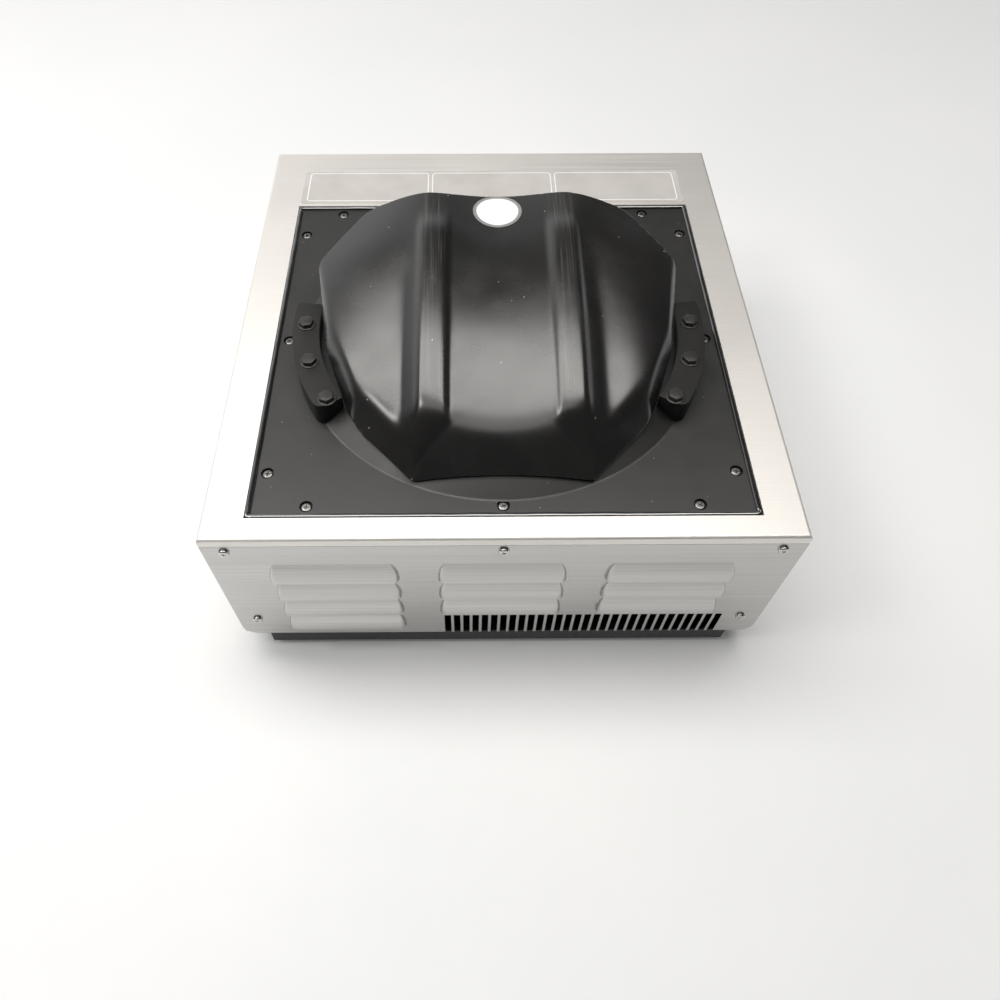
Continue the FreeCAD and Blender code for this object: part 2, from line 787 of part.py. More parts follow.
def deck_plate():
    """Black deck plate with the raised collar turned on it, and recesses for its screws."""
    body = new_body("DeckPlate")
    plate = new_sketch(body, "XY_Plane", DECK_SEAT)
    rectangle(plate, "seal_width - opening_width/2", "opening_width/2 - seal_width",
              f"{DECK_Y} - opening_depth/2 + seal_width", f"{DECK_Y} + opening_depth/2 - seal_width")
    pad(body, plate, "deck_thickness")
    collar = new_sketch(body, "XY_Plane", DECK_TOP)
    circle(collar, "0", DECK_Y, "collar_radius")
    raised = pad(body, collar, "collar_height")
    bind(raised, TaperAngle="-atan((collar_radius - collar_shoulder)/collar_height)")
    surface = value(DECK_TOP)
    ring = value("collar_radius")
    round_edges(body, "collar_fillet", lambda a, b: near(a.z, surface) and near(b.z, surface)
                and near(math.hypot(a.x, a.y - value(DECK_Y)), ring))
    bore = new_sketch(body, "XY_Plane", DECK_TOP)
    circle(bore, "0", DECK_Y, "collar_bore")
    through(body, bore, both_ways=True)
    recesses = new_sketch(body, "XY_Plane", DECK_TOP)
    for x, y in DECK_SCREWS:
        circle(recesses, x, y, "screw_recess_radius")
    pocket(body, recesses, "screw_recess + screw_head_height")
    holes = new_sketch(body, "XY_Plane", DECK_TOP)
    for x, y in DECK_SCREWS:
        circle(holes, x, y, SCREW_HOLE)
    for x, y in BOLTS:
        circle(holes, x, y, BOLT_HOLE)
    through(body, holes, both_ways=True)
    return finish(body, "deck_plate")


def deck_seal():
    """Black bead that fills the gap round the deck plate."""
    body = new_body("DeckSeal")
    outline = new_sketch(body, "XY_Plane", DECK_SEAT)
    rectangle(outline, "-opening_width/2", "opening_width/2",
              f"{DECK_Y} - opening_depth/2", f"{DECK_Y} + opening_depth/2")
    rectangle(outline, "seal_width - opening_width/2", "opening_width/2 - seal_width",
              f"{DECK_Y} - opening_depth/2 + seal_width", f"{DECK_Y} + opening_depth/2 - seal_width")
    pad(body, outline, "deck_thickness + seal_stand")
    return finish(body, "deck_seal")


def deck_screws():
    seat = f"{DECK_TOP} - screw_recess - screw_head_height"
    made = [screw("DeckScrew", "z", x, y, seat, 1, "screw_length") for x, y in DECK_SCREWS]
    return finish(group("DeckScrews", made), "deck_screws")


BOLT_ANGLES = [f"(bolt_first - {step}*bolt_step)" for step in range(3)]
BOLTS = [(f"{side}bolt_circle*cos({angle})", f"{DECK_Y} + bolt_circle*sin({angle})")
         for side in "+-" for angle in BOLT_ANGLES]


def clamp_bars(deck):
    """Two arc bars that sit over the collar's foot, shaped to it underneath, with three bolts each."""
    bar_top = f"({DECK_TOP} + bar_height)"
    for side, start in (("right", "bar_forward - bar_sweep"), ("left", "180 - bar_forward")):
        outer = rod("BarOuter", "z", "0", DECK_Y, DECK_SEAT, f"{bar_top} - {DECK_SEAT}", "bar_outer")
        inner = rod("BarInner", "z", "0", DECK_Y, DECK_SEAT, f"{bar_top} - {DECK_SEAT}", "bar_inner")
        for sector in (outer, inner):
            bind(sector, Angle="bar_sweep")
            sector.setExpression("Placement.Rotation.Angle", formula(start))
        arc = cut("BarArc", outer, inner)
        spots = [spot for spot in BOLTS if spot[0].startswith("+" if side == "right" else "-")]
        holes = fuse("BarHoles", [rod("BarHole", "z", x, y, DECK_SEAT, f"{bar_top} - {DECK_SEAT}", BOLT_HOLE)
                                  for x, y in spots])
        drilled = cut("BarDrilled", arc, holes)
        seat = doc.addObject("Part::Feature", "BarSeat")
        seat.Shape = deck_form(deck)
        finish(cut("ClampBar", drilled, seat), f"clamp_bar_{side}")
    bolts = []
    nuts = []
    for x, y in BOLTS:
        head = hexagon("BoltHead", "z", x, y, bar_top, "bolt_head_height", "bolt_head")
        tail = f"({DECK_SEAT} - nut_height - bolt_tail)"
        shank = rod("BoltShank", "z", x, y, tail, f"{bar_top} - {tail}", "bolt_radius")
        bolts.append(fuse("Bolt", [head, shank]))
        blank = hexagon("NutBlank", "z", x, y, f"{DECK_SEAT} - nut_height", "nut_height", "bolt_head")
        thread = rod("NutThread", "z", x, y, f"{DECK_SEAT} - nut_height", "nut_height", BOLT_HOLE)
        nuts.append(cut("Nut", blank, thread))
    finish(group("Bolts", bolts), "clamp_bolts")
    finish(group("Nuts", nuts), "clamp_nuts")


def deck_form(deck):
    """The deck plate's shape before the part's frame shift, as a seat for the bars."""
    doc.recompute()
    return deck.Tip.Shape.copy()


def hood_outline():
    """The hood's plan round the collar's centre, going round from the right end of its rear edge."""
    half = [("hood_rear_half", "-hood_rear"), ("hood_knee_x", "hood_knee_y"),
            ("hood_waist_x", "hood_waist_y"), ("hood_corner_x", "hood_corner_y"),
            ("hood_shoulder_x", "hood_shoulder_y")]
    right = [(value(x), value(y)) for x, y in half]
    left = [(-x, y) for x, y in reversed(right)]
    return right + [(0.0, value("hood_front"))] + left


def edge_distance(x, y, start, end):
    """How far a point lies to the left of the line from start to end."""
    run_x = end[0] - start[0]
    run_y = end[1] - start[1]
    return (run_x * (y - start[1]) - run_y * (x - start[0])) / math.hypot(run_x, run_y)


def soft_step(distance, width):
    """Goes smoothly from 0 to 1 over about four widths."""
    return 1 / (1 + math.exp(-distance / width))


def hood_height_at(x, y, size):
    """Height of the hood's outer skin over the deck: a ribbed roof that meets sloping walls at a crease.

    The brim at the front swells over the ribs and falls away at the lobes. Behind it the roof is level
    across, with a step down to a flat lobe on each side of the ribs.
    """
    across = abs(x)
    brim = soft_step(y - size["brim_rear"], size["brim_run"])
    back = max(0.0, (size["hood_level"] - y) / size["hood_fall_length"])
    roof = size["hood_height"] - size["hood_fall"] * back ** 2
    from_swell = (across - size["hood_swell_x"]) / size["hood_swell_width"]
    roof += brim * size["hood_swell"] * math.exp(-from_swell ** 2)
    roof += (1 - brim) * size["rear_swell"] * math.exp(-min(0.0, from_swell) ** 2)
    outward = max(0.0, (across - size["hood_lobe"]) / size["hood_lobe_reach"])
    roof -= brim * size["hood_lobe_fall"] * outward ** 1.5
    roof -= (1 - brim) * size["rear_lobe_fall"] * outward ** 3
    beside = soft_step(across - size["rib_crest"] - size["lobe_step_offset"], size["lobe_step_width"])
    roof -= size["lobe_step"] * beside * soft_step(size["lobe_step_front"] - y, size["lobe_step_run"])
    rib_half = size["rib_width"] / 2
    past_end = y - max(y, size["rib_rear"] + rib_half)
    rib = math.exp(-(math.hypot(across - size["rib_crest"], past_end) / rib_half) ** 4)
    roof += size["rib_height"] * rib * soft_step(size["rib_front"] - y, rib_half / 2)
    cone = size["collar_height"] / (size["collar_radius"] - size["collar_shoulder"])
    foot = size["collar_radius"] + size["collar_fillet"] * math.tan(math.atan(cone) / 2)
    collar = min(max(0.0, (foot - math.hypot(x, y)) * cone), size["collar_height"])
    along = (y - size["hood_knee_y"]) / (size["hood_corner_y"] - size["hood_knee_y"])
    rim = size["rim_knee_height"] + along * (size["rim_corner_height"] - size["rim_knee_height"])
    rim = max(collar, rim) + size["hood_seat"] + size["hood_wall"]
    wall = min(rim + slope * edge_distance(across, y, start, end) for start, end, slope in size["walls"])
    softness = size["crease_softness"]
    lower = min(roof, wall)
    blend = math.exp((lower - roof) / softness) + math.exp((lower - wall) / softness)
    return lower - softness * math.log(blend)


def stations(low, high, coarse, fine, fine_from, fine_to):
    """Places to draw the skin through: wide steps, and close ones between two limits."""
    spots = [low]
    while spots[-1] < high:
        close = fine_from <= spots[-1] < fine_to
        spots.append(spots[-1] + (fine if close else coarse))
    return spots


def hood():
    """Moulded hood: one ribbed skin of even wall, trimmed to its plan, seated on the collar at the rear."""
    size = {name: value(name) for name in SIZES}
    outline = hood_outline()
    slopes = [size[f"{edge}_wall_slope"] for edge in ("rear", "knee", "waist", "side")]
    size["walls"] = list(zip(outline[-1:] + outline[:3], outline[:4], slopes))
    margin = 2 * size["hood_wall"]
    rib_half = size["rib_width"] / 2
    step_end = size["lobe_step_offset"] + 4 * size["lobe_step_width"]
    half = stations(0, size["hood_corner_x"] + margin, rib_half / 2, rib_half / 3,
                    size["rib_crest"] - 1.6 * rib_half, size["rib_crest"] + step_end)
    columns = [-x for x in reversed(half[1:])] + half
    lines = stations(-size["hood_rear"] - margin, size["hood_front"] + margin, rib_half / 2, rib_half / 3,
                     -size["hood_rear"] - margin, size["rib_rear"] + 2 * rib_half)
    skin = Part.BSplineSurface()
    skin.interpolate([[Vector(x, y, hood_height_at(x, y, size)) for y in lines] for x in columns])
    shell = skin.toShape().extrude(Vector(0, 0, -size["hood_wall"]))
    corners = [Vector(x, y, -margin) for x, y in outline]
    plan = Part.Face(Part.makePolygon(corners + corners[:1]))
    trim = plan.extrude(Vector(0, 0, 2 * size["hood_height"]))
    piece = doc.addObject("Part::Feature", "Hood")
    piece.Shape = shell.common(rounded_plan(trim))
    piece.Label = "hood"
    piece.Placement.Base = Vector(0, value(DECK_Y) + value(FRAME_SHIFT), value(DECK_TOP))
    finished.append(piece)
    return piece


def rounded_plan(trim):
    """Round the upright edges of the hood's plan, each by its own radius."""
    rounds = {"hood_rear_half": "hood_rear_round", "hood_knee_x": "hood_knee_round",
              "hood_waist_x": "hood_waist_round", "hood_corner_x": "hood_corner_round",
              "hood_shoulder_x": "hood_shoulder_round"}
    for place_name, radius in rounds.items():
        edges = [edge for edge in trim.Edges if near(abs(edge.firstVertex().X), value(place_name))
                 and near(edge.firstVertex().X, edge.lastVertex().X)
                 and not near(edge.firstVertex().Z, edge.lastVertex().Z)]
        trim = trim.makeFillet(value(radius), edges)
    return trim


# Heating block

WELLS = [f"(90 + well_step*({number} - (well_count - 1)/2))" for number in range(int(SIZES["well_count"]))]


def heating_block():
    """Round aluminium block with an arc of tube wells in front of the hood, and a bore for the sensor."""
    body = new_body("HeatingBlock")
    blank = new_sketch(body, "XY_Plane", BLOCK_BOTTOM)
    circle(blank, "0", DECK_Y, "block_radius")
    pad(body, blank, "block_height")
    top = value(BLOCK_TOP)
    round_edges(body, "sheet", lambda a, b: near(a.z, top) and near(b.z, top))
    wells = new_sketch(body, "XY_Plane", BLOCK_TOP)
    for angle in WELLS:
        circle(wells, f"well_circle*cos({angle})", f"{DECK_Y} + well_circle*sin({angle})", "well_radius")
    pocket(body, wells, "well_depth")
    probe = new_sketch(body, "YZ_Plane", "probe_inner")
    circle(probe, DECK_Y, f"{BLOCK_BOTTOM} + probe_rise", "probe_radius + hole_clearance")
    through(body, probe, reverse=True)
    return finish(body, "heating_block")


def disc_stack():
    """The round pieces under the block, each resting on the one below it."""
    gasket_low = f"({DECK_SEAT})"
    outer = rod("GasketOuter", "z", "0", DECK_Y, gasket_low, "gasket_height", "collar_bore - gasket_fit")
    inner = rod("GasketInner", "z", "0", DECK_Y, gasket_low, "gasket_height", "block_radius + gasket_fit")
    finish(cut("Gasket", outer, inner), "block_gasket")
    finish(group("HeaterMat", [rod("Mat", "z", "0", DECK_Y, MAT_BOTTOM, "mat_thickness", "pressure_radius")]),
           "heater_mat")
    finish(group("PressurePlate", [rod("Plate", "z", "0", DECK_Y, PRESSURE_BOTTOM, "pressure_thickness",
                                       "pressure_radius")]), "pressure_plate")
    body = new_body("InsulationCup")
    ring = new_sketch(body, "XY_Plane", TRAY_TOP)
    circle(ring, "0", DECK_Y, "cup_radius")
    pad(body, ring, "cup_height")
    well = new_sketch(body, "XY_Plane", f"{TRAY_TOP} + cup_height")
    circle(well, "0", DECK_Y, "block_radius + cup_gap")
    pocket(body, well, "cup_height - cup_floor")
    access = new_sketch(body, "XY_Plane", f"{TRAY_TOP} + cup_height")
    circle(access, "0", DECK_Y, "access_radius")
    through(body, access)
    probe = new_sketch(body, "YZ_Plane")
    circle(probe, DECK_Y, f"{BLOCK_BOTTOM} + probe_rise", "probe_radius + hole_clearance")
    through(body, probe, reverse=True)
    finish(body, "insulation_cup")
    disc = rod("TrayDisc", "z", "0", DECK_Y, f"{TRAY_TOP} - sheet", "sheet", "tray_radius")
    hole = rod("TrayHole", "z", "0", DECK_Y, f"{TRAY_TOP} - sheet", "sheet", "access_radius")
    finish(cut("BlockTray", disc, hole), "block_tray")
    posts = [rod("Post", "z", f"{a}post_offset", f"{DECK_Y} {b} post_offset", PAN_FLOOR,
                 f"{TRAY_TOP} - sheet - {PAN_FLOOR}", "post_radius") for a in "+-" for b in "+-"]
    finish(group("Posts", posts), "tray_posts")


def block_controls():
    """The sensor that reads the block, and the cut-out under its pressure plate."""
    probe = rod("Probe", "x", "probe_inner", DECK_Y, f"{BLOCK_BOTTOM} + probe_rise",
                "probe_outer - probe_inner", "probe_radius")
    finish(group("SensorProbe", [probe]), "sensor_probe")
    case_low = f"({PRESSURE_BOTTOM} - cutout_height)"
    can = rod("CutoutCan", "z", "0", DECK_Y, case_low, "cutout_height", "cutout_radius")
    tabs = [box("CutoutTab", f"{side}cutout_radius/2 - sheet", f"{side}cutout_radius/2 + sheet",
                f"{DECK_Y} - sheet/2", f"{DECK_Y} + sheet/2", f"{case_low} - cutout_tab", case_low)
            for side in "+-"]
    finish(fuse("ThermalCutout", [can] + tabs), "thermal_cutout")


# Fan

FAN_SCREWS = [(f"{a}{FAN_SCREW_OFFSET}", f"{DECK_Y} {b} {FAN_SCREW_OFFSET}") for a in "+-" for b in "+-"]


def fan_frame():
    """Square fan frame with a spider of four arms that carries the motor over the rotor."""
    body = new_body("FanFrame")
    square = new_sketch(body, "XY_Plane", PAN_FLOOR)
    rectangle(square, "-fan_size/2", "fan_size/2", f"{DECK_Y} - fan_size/2", f"{DECK_Y} + fan_size/2")
    pad(body, square, "fan_depth")
    bore = new_sketch(body, "XY_Plane", FAN_TOP)
    circle(bore, "0", DECK_Y, FAN_BORE)
    through(body, bore)
    corner = value("fan_size/2")
    round_edges(body, "post_radius", lambda a, b: near(abs(a.x), corner) and near(a.x, b.x)
                and not near(a.z, b.z) and near(abs(a.y - value(DECK_Y)), corner))
    across = new_sketch(body, "XY_Plane", FAN_TOP)
    rectangle(across, f"-{FAN_BORE} - sheet", f"{FAN_BORE} + sheet",
              f"{DECK_Y} - fan_arm/2", f"{DECK_Y} + fan_arm/2")
    pad(body, across, "fan_web", reverse=True)
    along = new_sketch(body, "XY_Plane", FAN_TOP)
    rectangle(along, "-fan_arm/2", "fan_arm/2",
              f"{DECK_Y} - {FAN_BORE} - sheet", f"{DECK_Y} + {FAN_BORE} + sheet")
    pad(body, along, "fan_web", reverse=True)
    motor = new_sketch(body, "XY_Plane", FAN_TOP)
    circle(motor, "0", DECK_Y, "hub_radius")
    pad(body, motor, "fan_web", reverse=True)
    holes = new_sketch(body, "XY_Plane", FAN_TOP)
    circle(holes, "0", DECK_Y, "axle_radius + axle_fit")
    for x, y in FAN_SCREWS:
        circle(holes, x, y, SCREW_HOLE)
    through(body, holes)
    finish(body, "fan_frame")
    made = [screw("FanScrew", "z", x, y, FAN_TOP, 1, "fan_depth + sheet") for x, y in FAN_SCREWS]
    finish(group("FanScrews", made), "fan_screws")


def blade_section(sketch, chord, pitch):
    """A thin rectangle turned by the blade's pitch, about half way up the hub."""
    middle = f"(({PAN_FLOOR} + fan_floor_gap + {FAN_TOP} - fan_web - hub_gap)/2)"
    corners = []
    for along, up in ((-1, -1), (1, -1), (1, 1), (-1, 1)):
        y = f"{along}*{chord}/2*cos({pitch}) - {up}*blade_thickness/2*sin({pitch})"
        z = f"{middle} + {along}*{chord}/2*sin({pitch}) + {up}*blade_thickness/2*cos({pitch})"
        corners.append((y, z))
    polygon(sketch, *corners)


def fan_rotor():
    """Fan rotor: a hub with its axle, and twisted blades lofted from root to tip."""
    body = new_body("FanRotor")
    hub_low = f"({PAN_FLOOR} + fan_floor_gap)"
    hub_top = f"({FAN_TOP} - fan_web - hub_gap)"
    hub = new_sketch(body, "XY_Plane", hub_low)
    circle(hub, "0", "0", "hub_radius")
    pad(body, hub, f"{hub_top} - {hub_low}")
    axle = new_sketch(body, "XY_Plane", hub_top)
    circle(axle, "0", "0", "axle_radius")
    pad(body, axle, "hub_gap + fan_web")
    root = new_sketch(body, "YZ_Plane", "hub_radius - 2*blade_thickness")
    blade_section(root, "blade_chord_root", "blade_pitch_root")
    tip = new_sketch(body, "YZ_Plane", BLADE_TIP)
    blade_section(tip, "blade_chord_tip", "blade_pitch_tip")
    blade = body.newObject("PartDesign::AdditiveLoft", "Blade")
    blade.Profile = root
    blade.Sections = [tip]
    blade.Ruled = True
    ring_of(body, blade, "Z_Axis", "blade_count")
    finish(body, "fan_rotor")
    body.setExpression("Placement.Base.y", formula(f"{DECK_Y} + {FRAME_SHIFT}"))


# Electronics on the pan

def power_board():
    half = "board_width/2"
    board = box("BoardBlank", f"-{half}", half, BOARD_Y, f"{BOARD_Y} + board_depth",
                f"{BOARD_TOP} - board_thickness", BOARD_TOP)
    finish(group("PowerBoard", [board]), "power_board")
    spots = [(f"{side}({half} - board_inset)", y) for side in "+-"
             for y in (f"{BOARD_Y} + board_inset", f"{BOARD_Y} + board_depth - board_inset")]
    made = [rod("Standoff", "z", x, y, PAN_FLOOR, "standoff_height", "standoff_radius") for x, y in spots]
    finish(group("Standoffs", made), "board_standoffs")


def board_parts():
    """What stands on the power board: transformer, relay, heat sink with its triac, and terminals."""
    middle = f"({BOARD_Y} + board_depth/2)"
    body = new_body("Transformer")
    winding = new_sketch(body, "XY_Plane", BOARD_TOP)
    rectangle(winding, "transformer_x - transformer_width/2", "transformer_x + transformer_width/2",
              f"{middle} - transformer_depth/2 + core_stand", f"{middle} + transformer_depth/2 - core_stand")
    pad(body, winding, "transformer_height - core_stand")
    core = new_sketch(body, "XY_Plane", BOARD_TOP)
    rectangle(core, "transformer_x - core_width/2", "transformer_x + core_width/2",
              f"{middle} - transformer_depth/2", f"{middle} + transformer_depth/2")
    pad(body, core, "transformer_height")
    finish(body, "transformer")
    relay = box("RelayCase", "-relay_width/2", "relay_width/2", f"{middle} - relay_depth/2",
                f"{middle} + relay_depth/2", BOARD_TOP, f"{BOARD_TOP} + relay_height")
    finish(group("Relay", [relay]), "relay")
    body = new_body("HeatSink")
    spine = new_sketch(body, "XY_Plane", BOARD_TOP)
    rectangle(spine, "sink_x - sink_width/2", "sink_x + sink_width/2", middle, f"{middle} + sink_base")
    pad(body, spine, "sink_height")
    fin = new_sketch(body, "XY_Plane", BOARD_TOP)
    rectangle(fin, "sink_x - sink_width/2", "sink_x - sink_width/2 + fin_thickness",
              f"{middle} + sink_base/2", f"{middle} + sink_depth")
    fin_pad = pad(body, fin, "sink_height")
    row_of(body, fin_pad, "X_Axis", "(sink_width - fin_thickness)/(fin_count - 1)", "fin_count")
    finish(body, "heat_sink")
    tab = box("TriacBody", "sink_x - triac_width/2", "sink_x + triac_width/2",
              f"{middle} - triac_thickness", middle,
              f"{BOARD_TOP} + triac_rise", f"{BOARD_TOP} + triac_rise + triac_height")
    leads = []
    for step in (-1, 0, 1):
        lead_x = f"(sink_x + {step}*triac_width/4)"
        leads.append(box("TriacLead", f"{lead_x} - triac_lead/2", f"{lead_x} + triac_lead/2",
                         f"{middle} - triac_thickness/2", f"{middle} - triac_thickness/2 + triac_lead",
                         BOARD_TOP, f"{BOARD_TOP} + triac_rise"))
    finish(fuse("Triac", [tab] + leads), "triac")
    body = new_body("TerminalBlock")
    far = f"({BOARD_Y} + board_depth - board_inset/2)"
    blank = new_sketch(body, "XY_Plane", BOARD_TOP)
    rectangle(blank, "terminal_x - terminal_width/2", "terminal_x + terminal_width/2",
              f"{far} - terminal_depth", far)
    pad(body, blank, "terminal_height")
    well = new_sketch(body, "XY_Plane", f"{BOARD_TOP} + terminal_height")
    circle(well, "terminal_x - terminal_pitch*(terminal_count - 1)/2", f"{far} - terminal_depth/2",
           "terminal_bore")
    bore = pocket(body, well, "terminal_height/2")
    row_of(body, bore, "X_Axis", "terminal_pitch", "terminal_count")
    finish(body, "terminal_block")


def mains_inlet():
    """Panel inlet in the left wall: a flanged socket with three flat pins and two screws."""
    wall = "(-case_width/2)"
    body = new_body("MainsInlet")
    flange = new_sketch(body, "YZ_Plane", wall)
    rectangle(flange, "inlet_y - inlet_flange_width/2", "inlet_y + inlet_flange_width/2",
              "inlet_z - inlet_flange_height/2", "inlet_z + inlet_flange_height/2")
    pad(body, flange, "inlet_flange", reverse=True)
    shell = new_sketch(body, "YZ_Plane", wall)
    rectangle(shell, "inlet_y - inlet_width/2", "inlet_y + inlet_width/2",
              "inlet_z - inlet_height/2", "inlet_z + inlet_height/2")
    pad(body, shell, "inlet_depth")
    socket = new_sketch(body, "YZ_Plane", f"{wall} - inlet_flange")
    rectangle(socket, "inlet_y - inlet_width/2 + inlet_wall", "inlet_y + inlet_width/2 - inlet_wall",
              "inlet_z - inlet_height/2 + inlet_wall", "inlet_z + inlet_height/2 - inlet_wall")
    pocket(body, socket, "inlet_socket", reverse=True)
    holes = new_sketch(body, "YZ_Plane", wall)
    for y in INLET_SCREWS:
        circle(holes, y, "inlet_z", SCREW_HOLE)
    through(body, holes, both_ways=True)
    finish(body, "mains_inlet")
    floor = f"({wall} - inlet_flange + inlet_socket)"
    spots = [("-inlet_pin_gap", "inlet_pin_drop"), ("inlet_pin_gap", "inlet_pin_drop"),
             ("0", "-inlet_pin_drop")]
    pins = [box("Pin", f"{floor} - inlet_pin_reach", floor,
                f"inlet_y + ({y}) - inlet_pin_width/2", f"inlet_y + ({y}) + inlet_pin_width/2",
                f"inlet_z + ({z}) - inlet_pin_height/2", f"inlet_z + ({z}) + inlet_pin_height/2")
            for y, z in spots]
    finish(group("InletPins", pins), "inlet_pins")


# Operator's panel

ROCKER_HALF_WIDTH = "(rocker_width/2 + rocker_side_fit + rocker_wall)"
ROCKER_HALF_HEIGHT = "(rocker_half + rocker_end_fit + rocker_wall)"
BUTTONS = {"button_up": "-button_pitch", "button_set": "0", "button_down": "button_pitch"}


def control_board():
    """Board on four studs behind the panel, carrying the display and the button switches."""
    back = f"({CONTROL_FACE} - board_thickness)"
    board = box("ControlBlank", "-control_width/2", "control_width/2", back, CONTROL_FACE,
                "control_z", "control_z + control_height")
    finish(group("ControlBoard", [board]), "control_board")
    spots = [(f"{side}(control_width/2 - stud_inset)", z) for side in "+-"
             for z in ("control_z + stud_inset", "control_z + control_height - stud_inset")]
    studs = [rod("Stud", "y", x, CONTROL_FACE, z, "stud_length", "stud_radius") for x, z in spots]
    finish(group("Studs", studs), "panel_standoffs")
    module = box("ModuleBlank", "-display_width/2", "display_width/2",
                 CONTROL_FACE, f"{CONTROL_FACE} + display_depth",
                 "display_z - display_height/2", "display_z + display_height/2")
    finish(group("DisplayModule", [module]), "display_module")
    half = "(display_width/2 - window_border/2 + window_overlap)"
    rise = "(display_height/2 - window_border/2 + window_overlap)"
    pane = box("WindowPane", f"-{half}", half, f"{PANEL_BACK} - window_thickness", PANEL_BACK,
               f"display_z - {rise}", f"display_z + {rise}")
    finish(group("DisplayWindow", [pane]), "display_window")


def push_buttons():
    """Three push buttons, each kept behind the panel by its flange, with a stem in its own switch."""
    flange_front = f"({PANEL_BACK} - button_gap)"
    flange_back = f"({flange_front} - button_flange_height)"
    switch_top = f"({CONTROL_FACE} + switch_height)"
    switches = []
    for label, x in BUTTONS.items():
        cap = rod("ButtonCap", "y", x, flange_front, "button_z",
                  f"{PANEL_FRONT} + button_stand - {flange_front}", "button_radius")
        flange = rod("ButtonFlange", "y", x, flange_back, "button_z", "button_flange_height", "button_flange")
        stem = rod("ButtonStem", "y", x, f"{flange_back} - button_stem_length", "button_z",
                   "button_stem_length", "button_stem")
        finish(fuse("Button", [cap, flange, stem]), label)
        blank = box("SwitchBlank", f"{x} - switch_size/2", f"{x} + switch_size/2", CONTROL_FACE, switch_top,
                    "button_z - switch_size/2", "button_z + switch_size/2")
        bore = rod("SwitchBore", "y", x, f"{CONTROL_FACE} + switch_floor", "button_z",
                   "switch_height", "button_stem + switch_fit")
        switches.append(cut("Switch", blank, bore))
    finish(group("Switches", switches), "button_switches")


def power_switch():
    """Rocker switch: a bezelled body through the panel, and a dished rocker on two pivots."""
    body = new_body("RockerBody")
    half_width = f"({ROCKER_HALF_WIDTH})"
    half_height = f"({ROCKER_HALF_HEIGHT})"
    cavity_width = "(rocker_width/2 + rocker_side_fit)"
    cavity_height = "(rocker_half + rocker_end_fit)"
    bezel = new_sketch(body, "XZ_Plane", f"-{PANEL_FRONT}")
    rectangle(bezel, f"rocker_x - {half_width} - rocker_rim", f"rocker_x + {half_width} + rocker_rim",
              f"rocker_z - {half_height} - rocker_rim", f"rocker_z + {half_height} + rocker_rim")
    pad(body, bezel, "rocker_bezel", reverse=True)
    shell = new_sketch(body, "XZ_Plane", f"-{PANEL_FRONT}")
    rectangle(shell, f"rocker_x - {half_width}", f"rocker_x + {half_width}",
              f"rocker_z - {half_height}", f"rocker_z + {half_height}")
    pad(body, shell, "rocker_body_depth")
    cavity = new_sketch(body, "XZ_Plane", f"-{PANEL_FRONT} - rocker_bezel")
    rectangle(cavity, f"rocker_x - {cavity_width}", f"rocker_x + {cavity_width}",
              f"rocker_z - {cavity_height}", f"rocker_z + {cavity_height}")
    pocket(body, cavity, "rocker_bezel + rocker_cavity", reverse=True)
    pivots = new_sketch(body, "YZ_Plane", f"rocker_x - {cavity_width} - rocker_pivot_depth")
    circle(pivots, ROCKER_PIVOT_Y, "rocker_z", "rocker_pivot + rocker_pivot_fit")
    pocket(body, pivots, f"2*({cavity_width} + rocker_pivot_depth)", reverse=True)
    finish(body, "rocker_body")
    body = new_body("PowerRocker")
    face = f"({PANEL_FRONT} + rocker_stand - {ROCKER_PIVOT_Y})"
    side = new_sketch(body, "YZ_Plane", "-rocker_width/2")
    polygon(side, (f"{face} - rocker_dish", "0"), (face, "rocker_half"),
            (f"{face} - rocker_depth", "rocker_half"), (f"{face} - 2*rocker_depth", "rocker_half/2"),
            (f"{face} - 2*rocker_depth", "-rocker_half/2"), (f"{face} - rocker_depth", "-rocker_half"),
            (face, "-rocker_half"))
    pad(body, side, "rocker_width")
    axle = new_sketch(body, "YZ_Plane", "-rocker_width/2 - rocker_pivot_depth")
    circle(axle, "0", "0", "rocker_pivot")
    pad(body, axle, "rocker_width + 2*rocker_pivot_depth")
    finish(body, "power_rocker")
    body.Placement.Rotation = Rotation(Vector(1, 0, 0), value("rocker_tilt"))
    body.setExpression("Placement.Rotation.Angle", formula("rocker_tilt"))
    place(body, "rocker_x", f"{ROCKER_PIVOT_Y} + {FRAME_SHIFT}", "rocker_z")


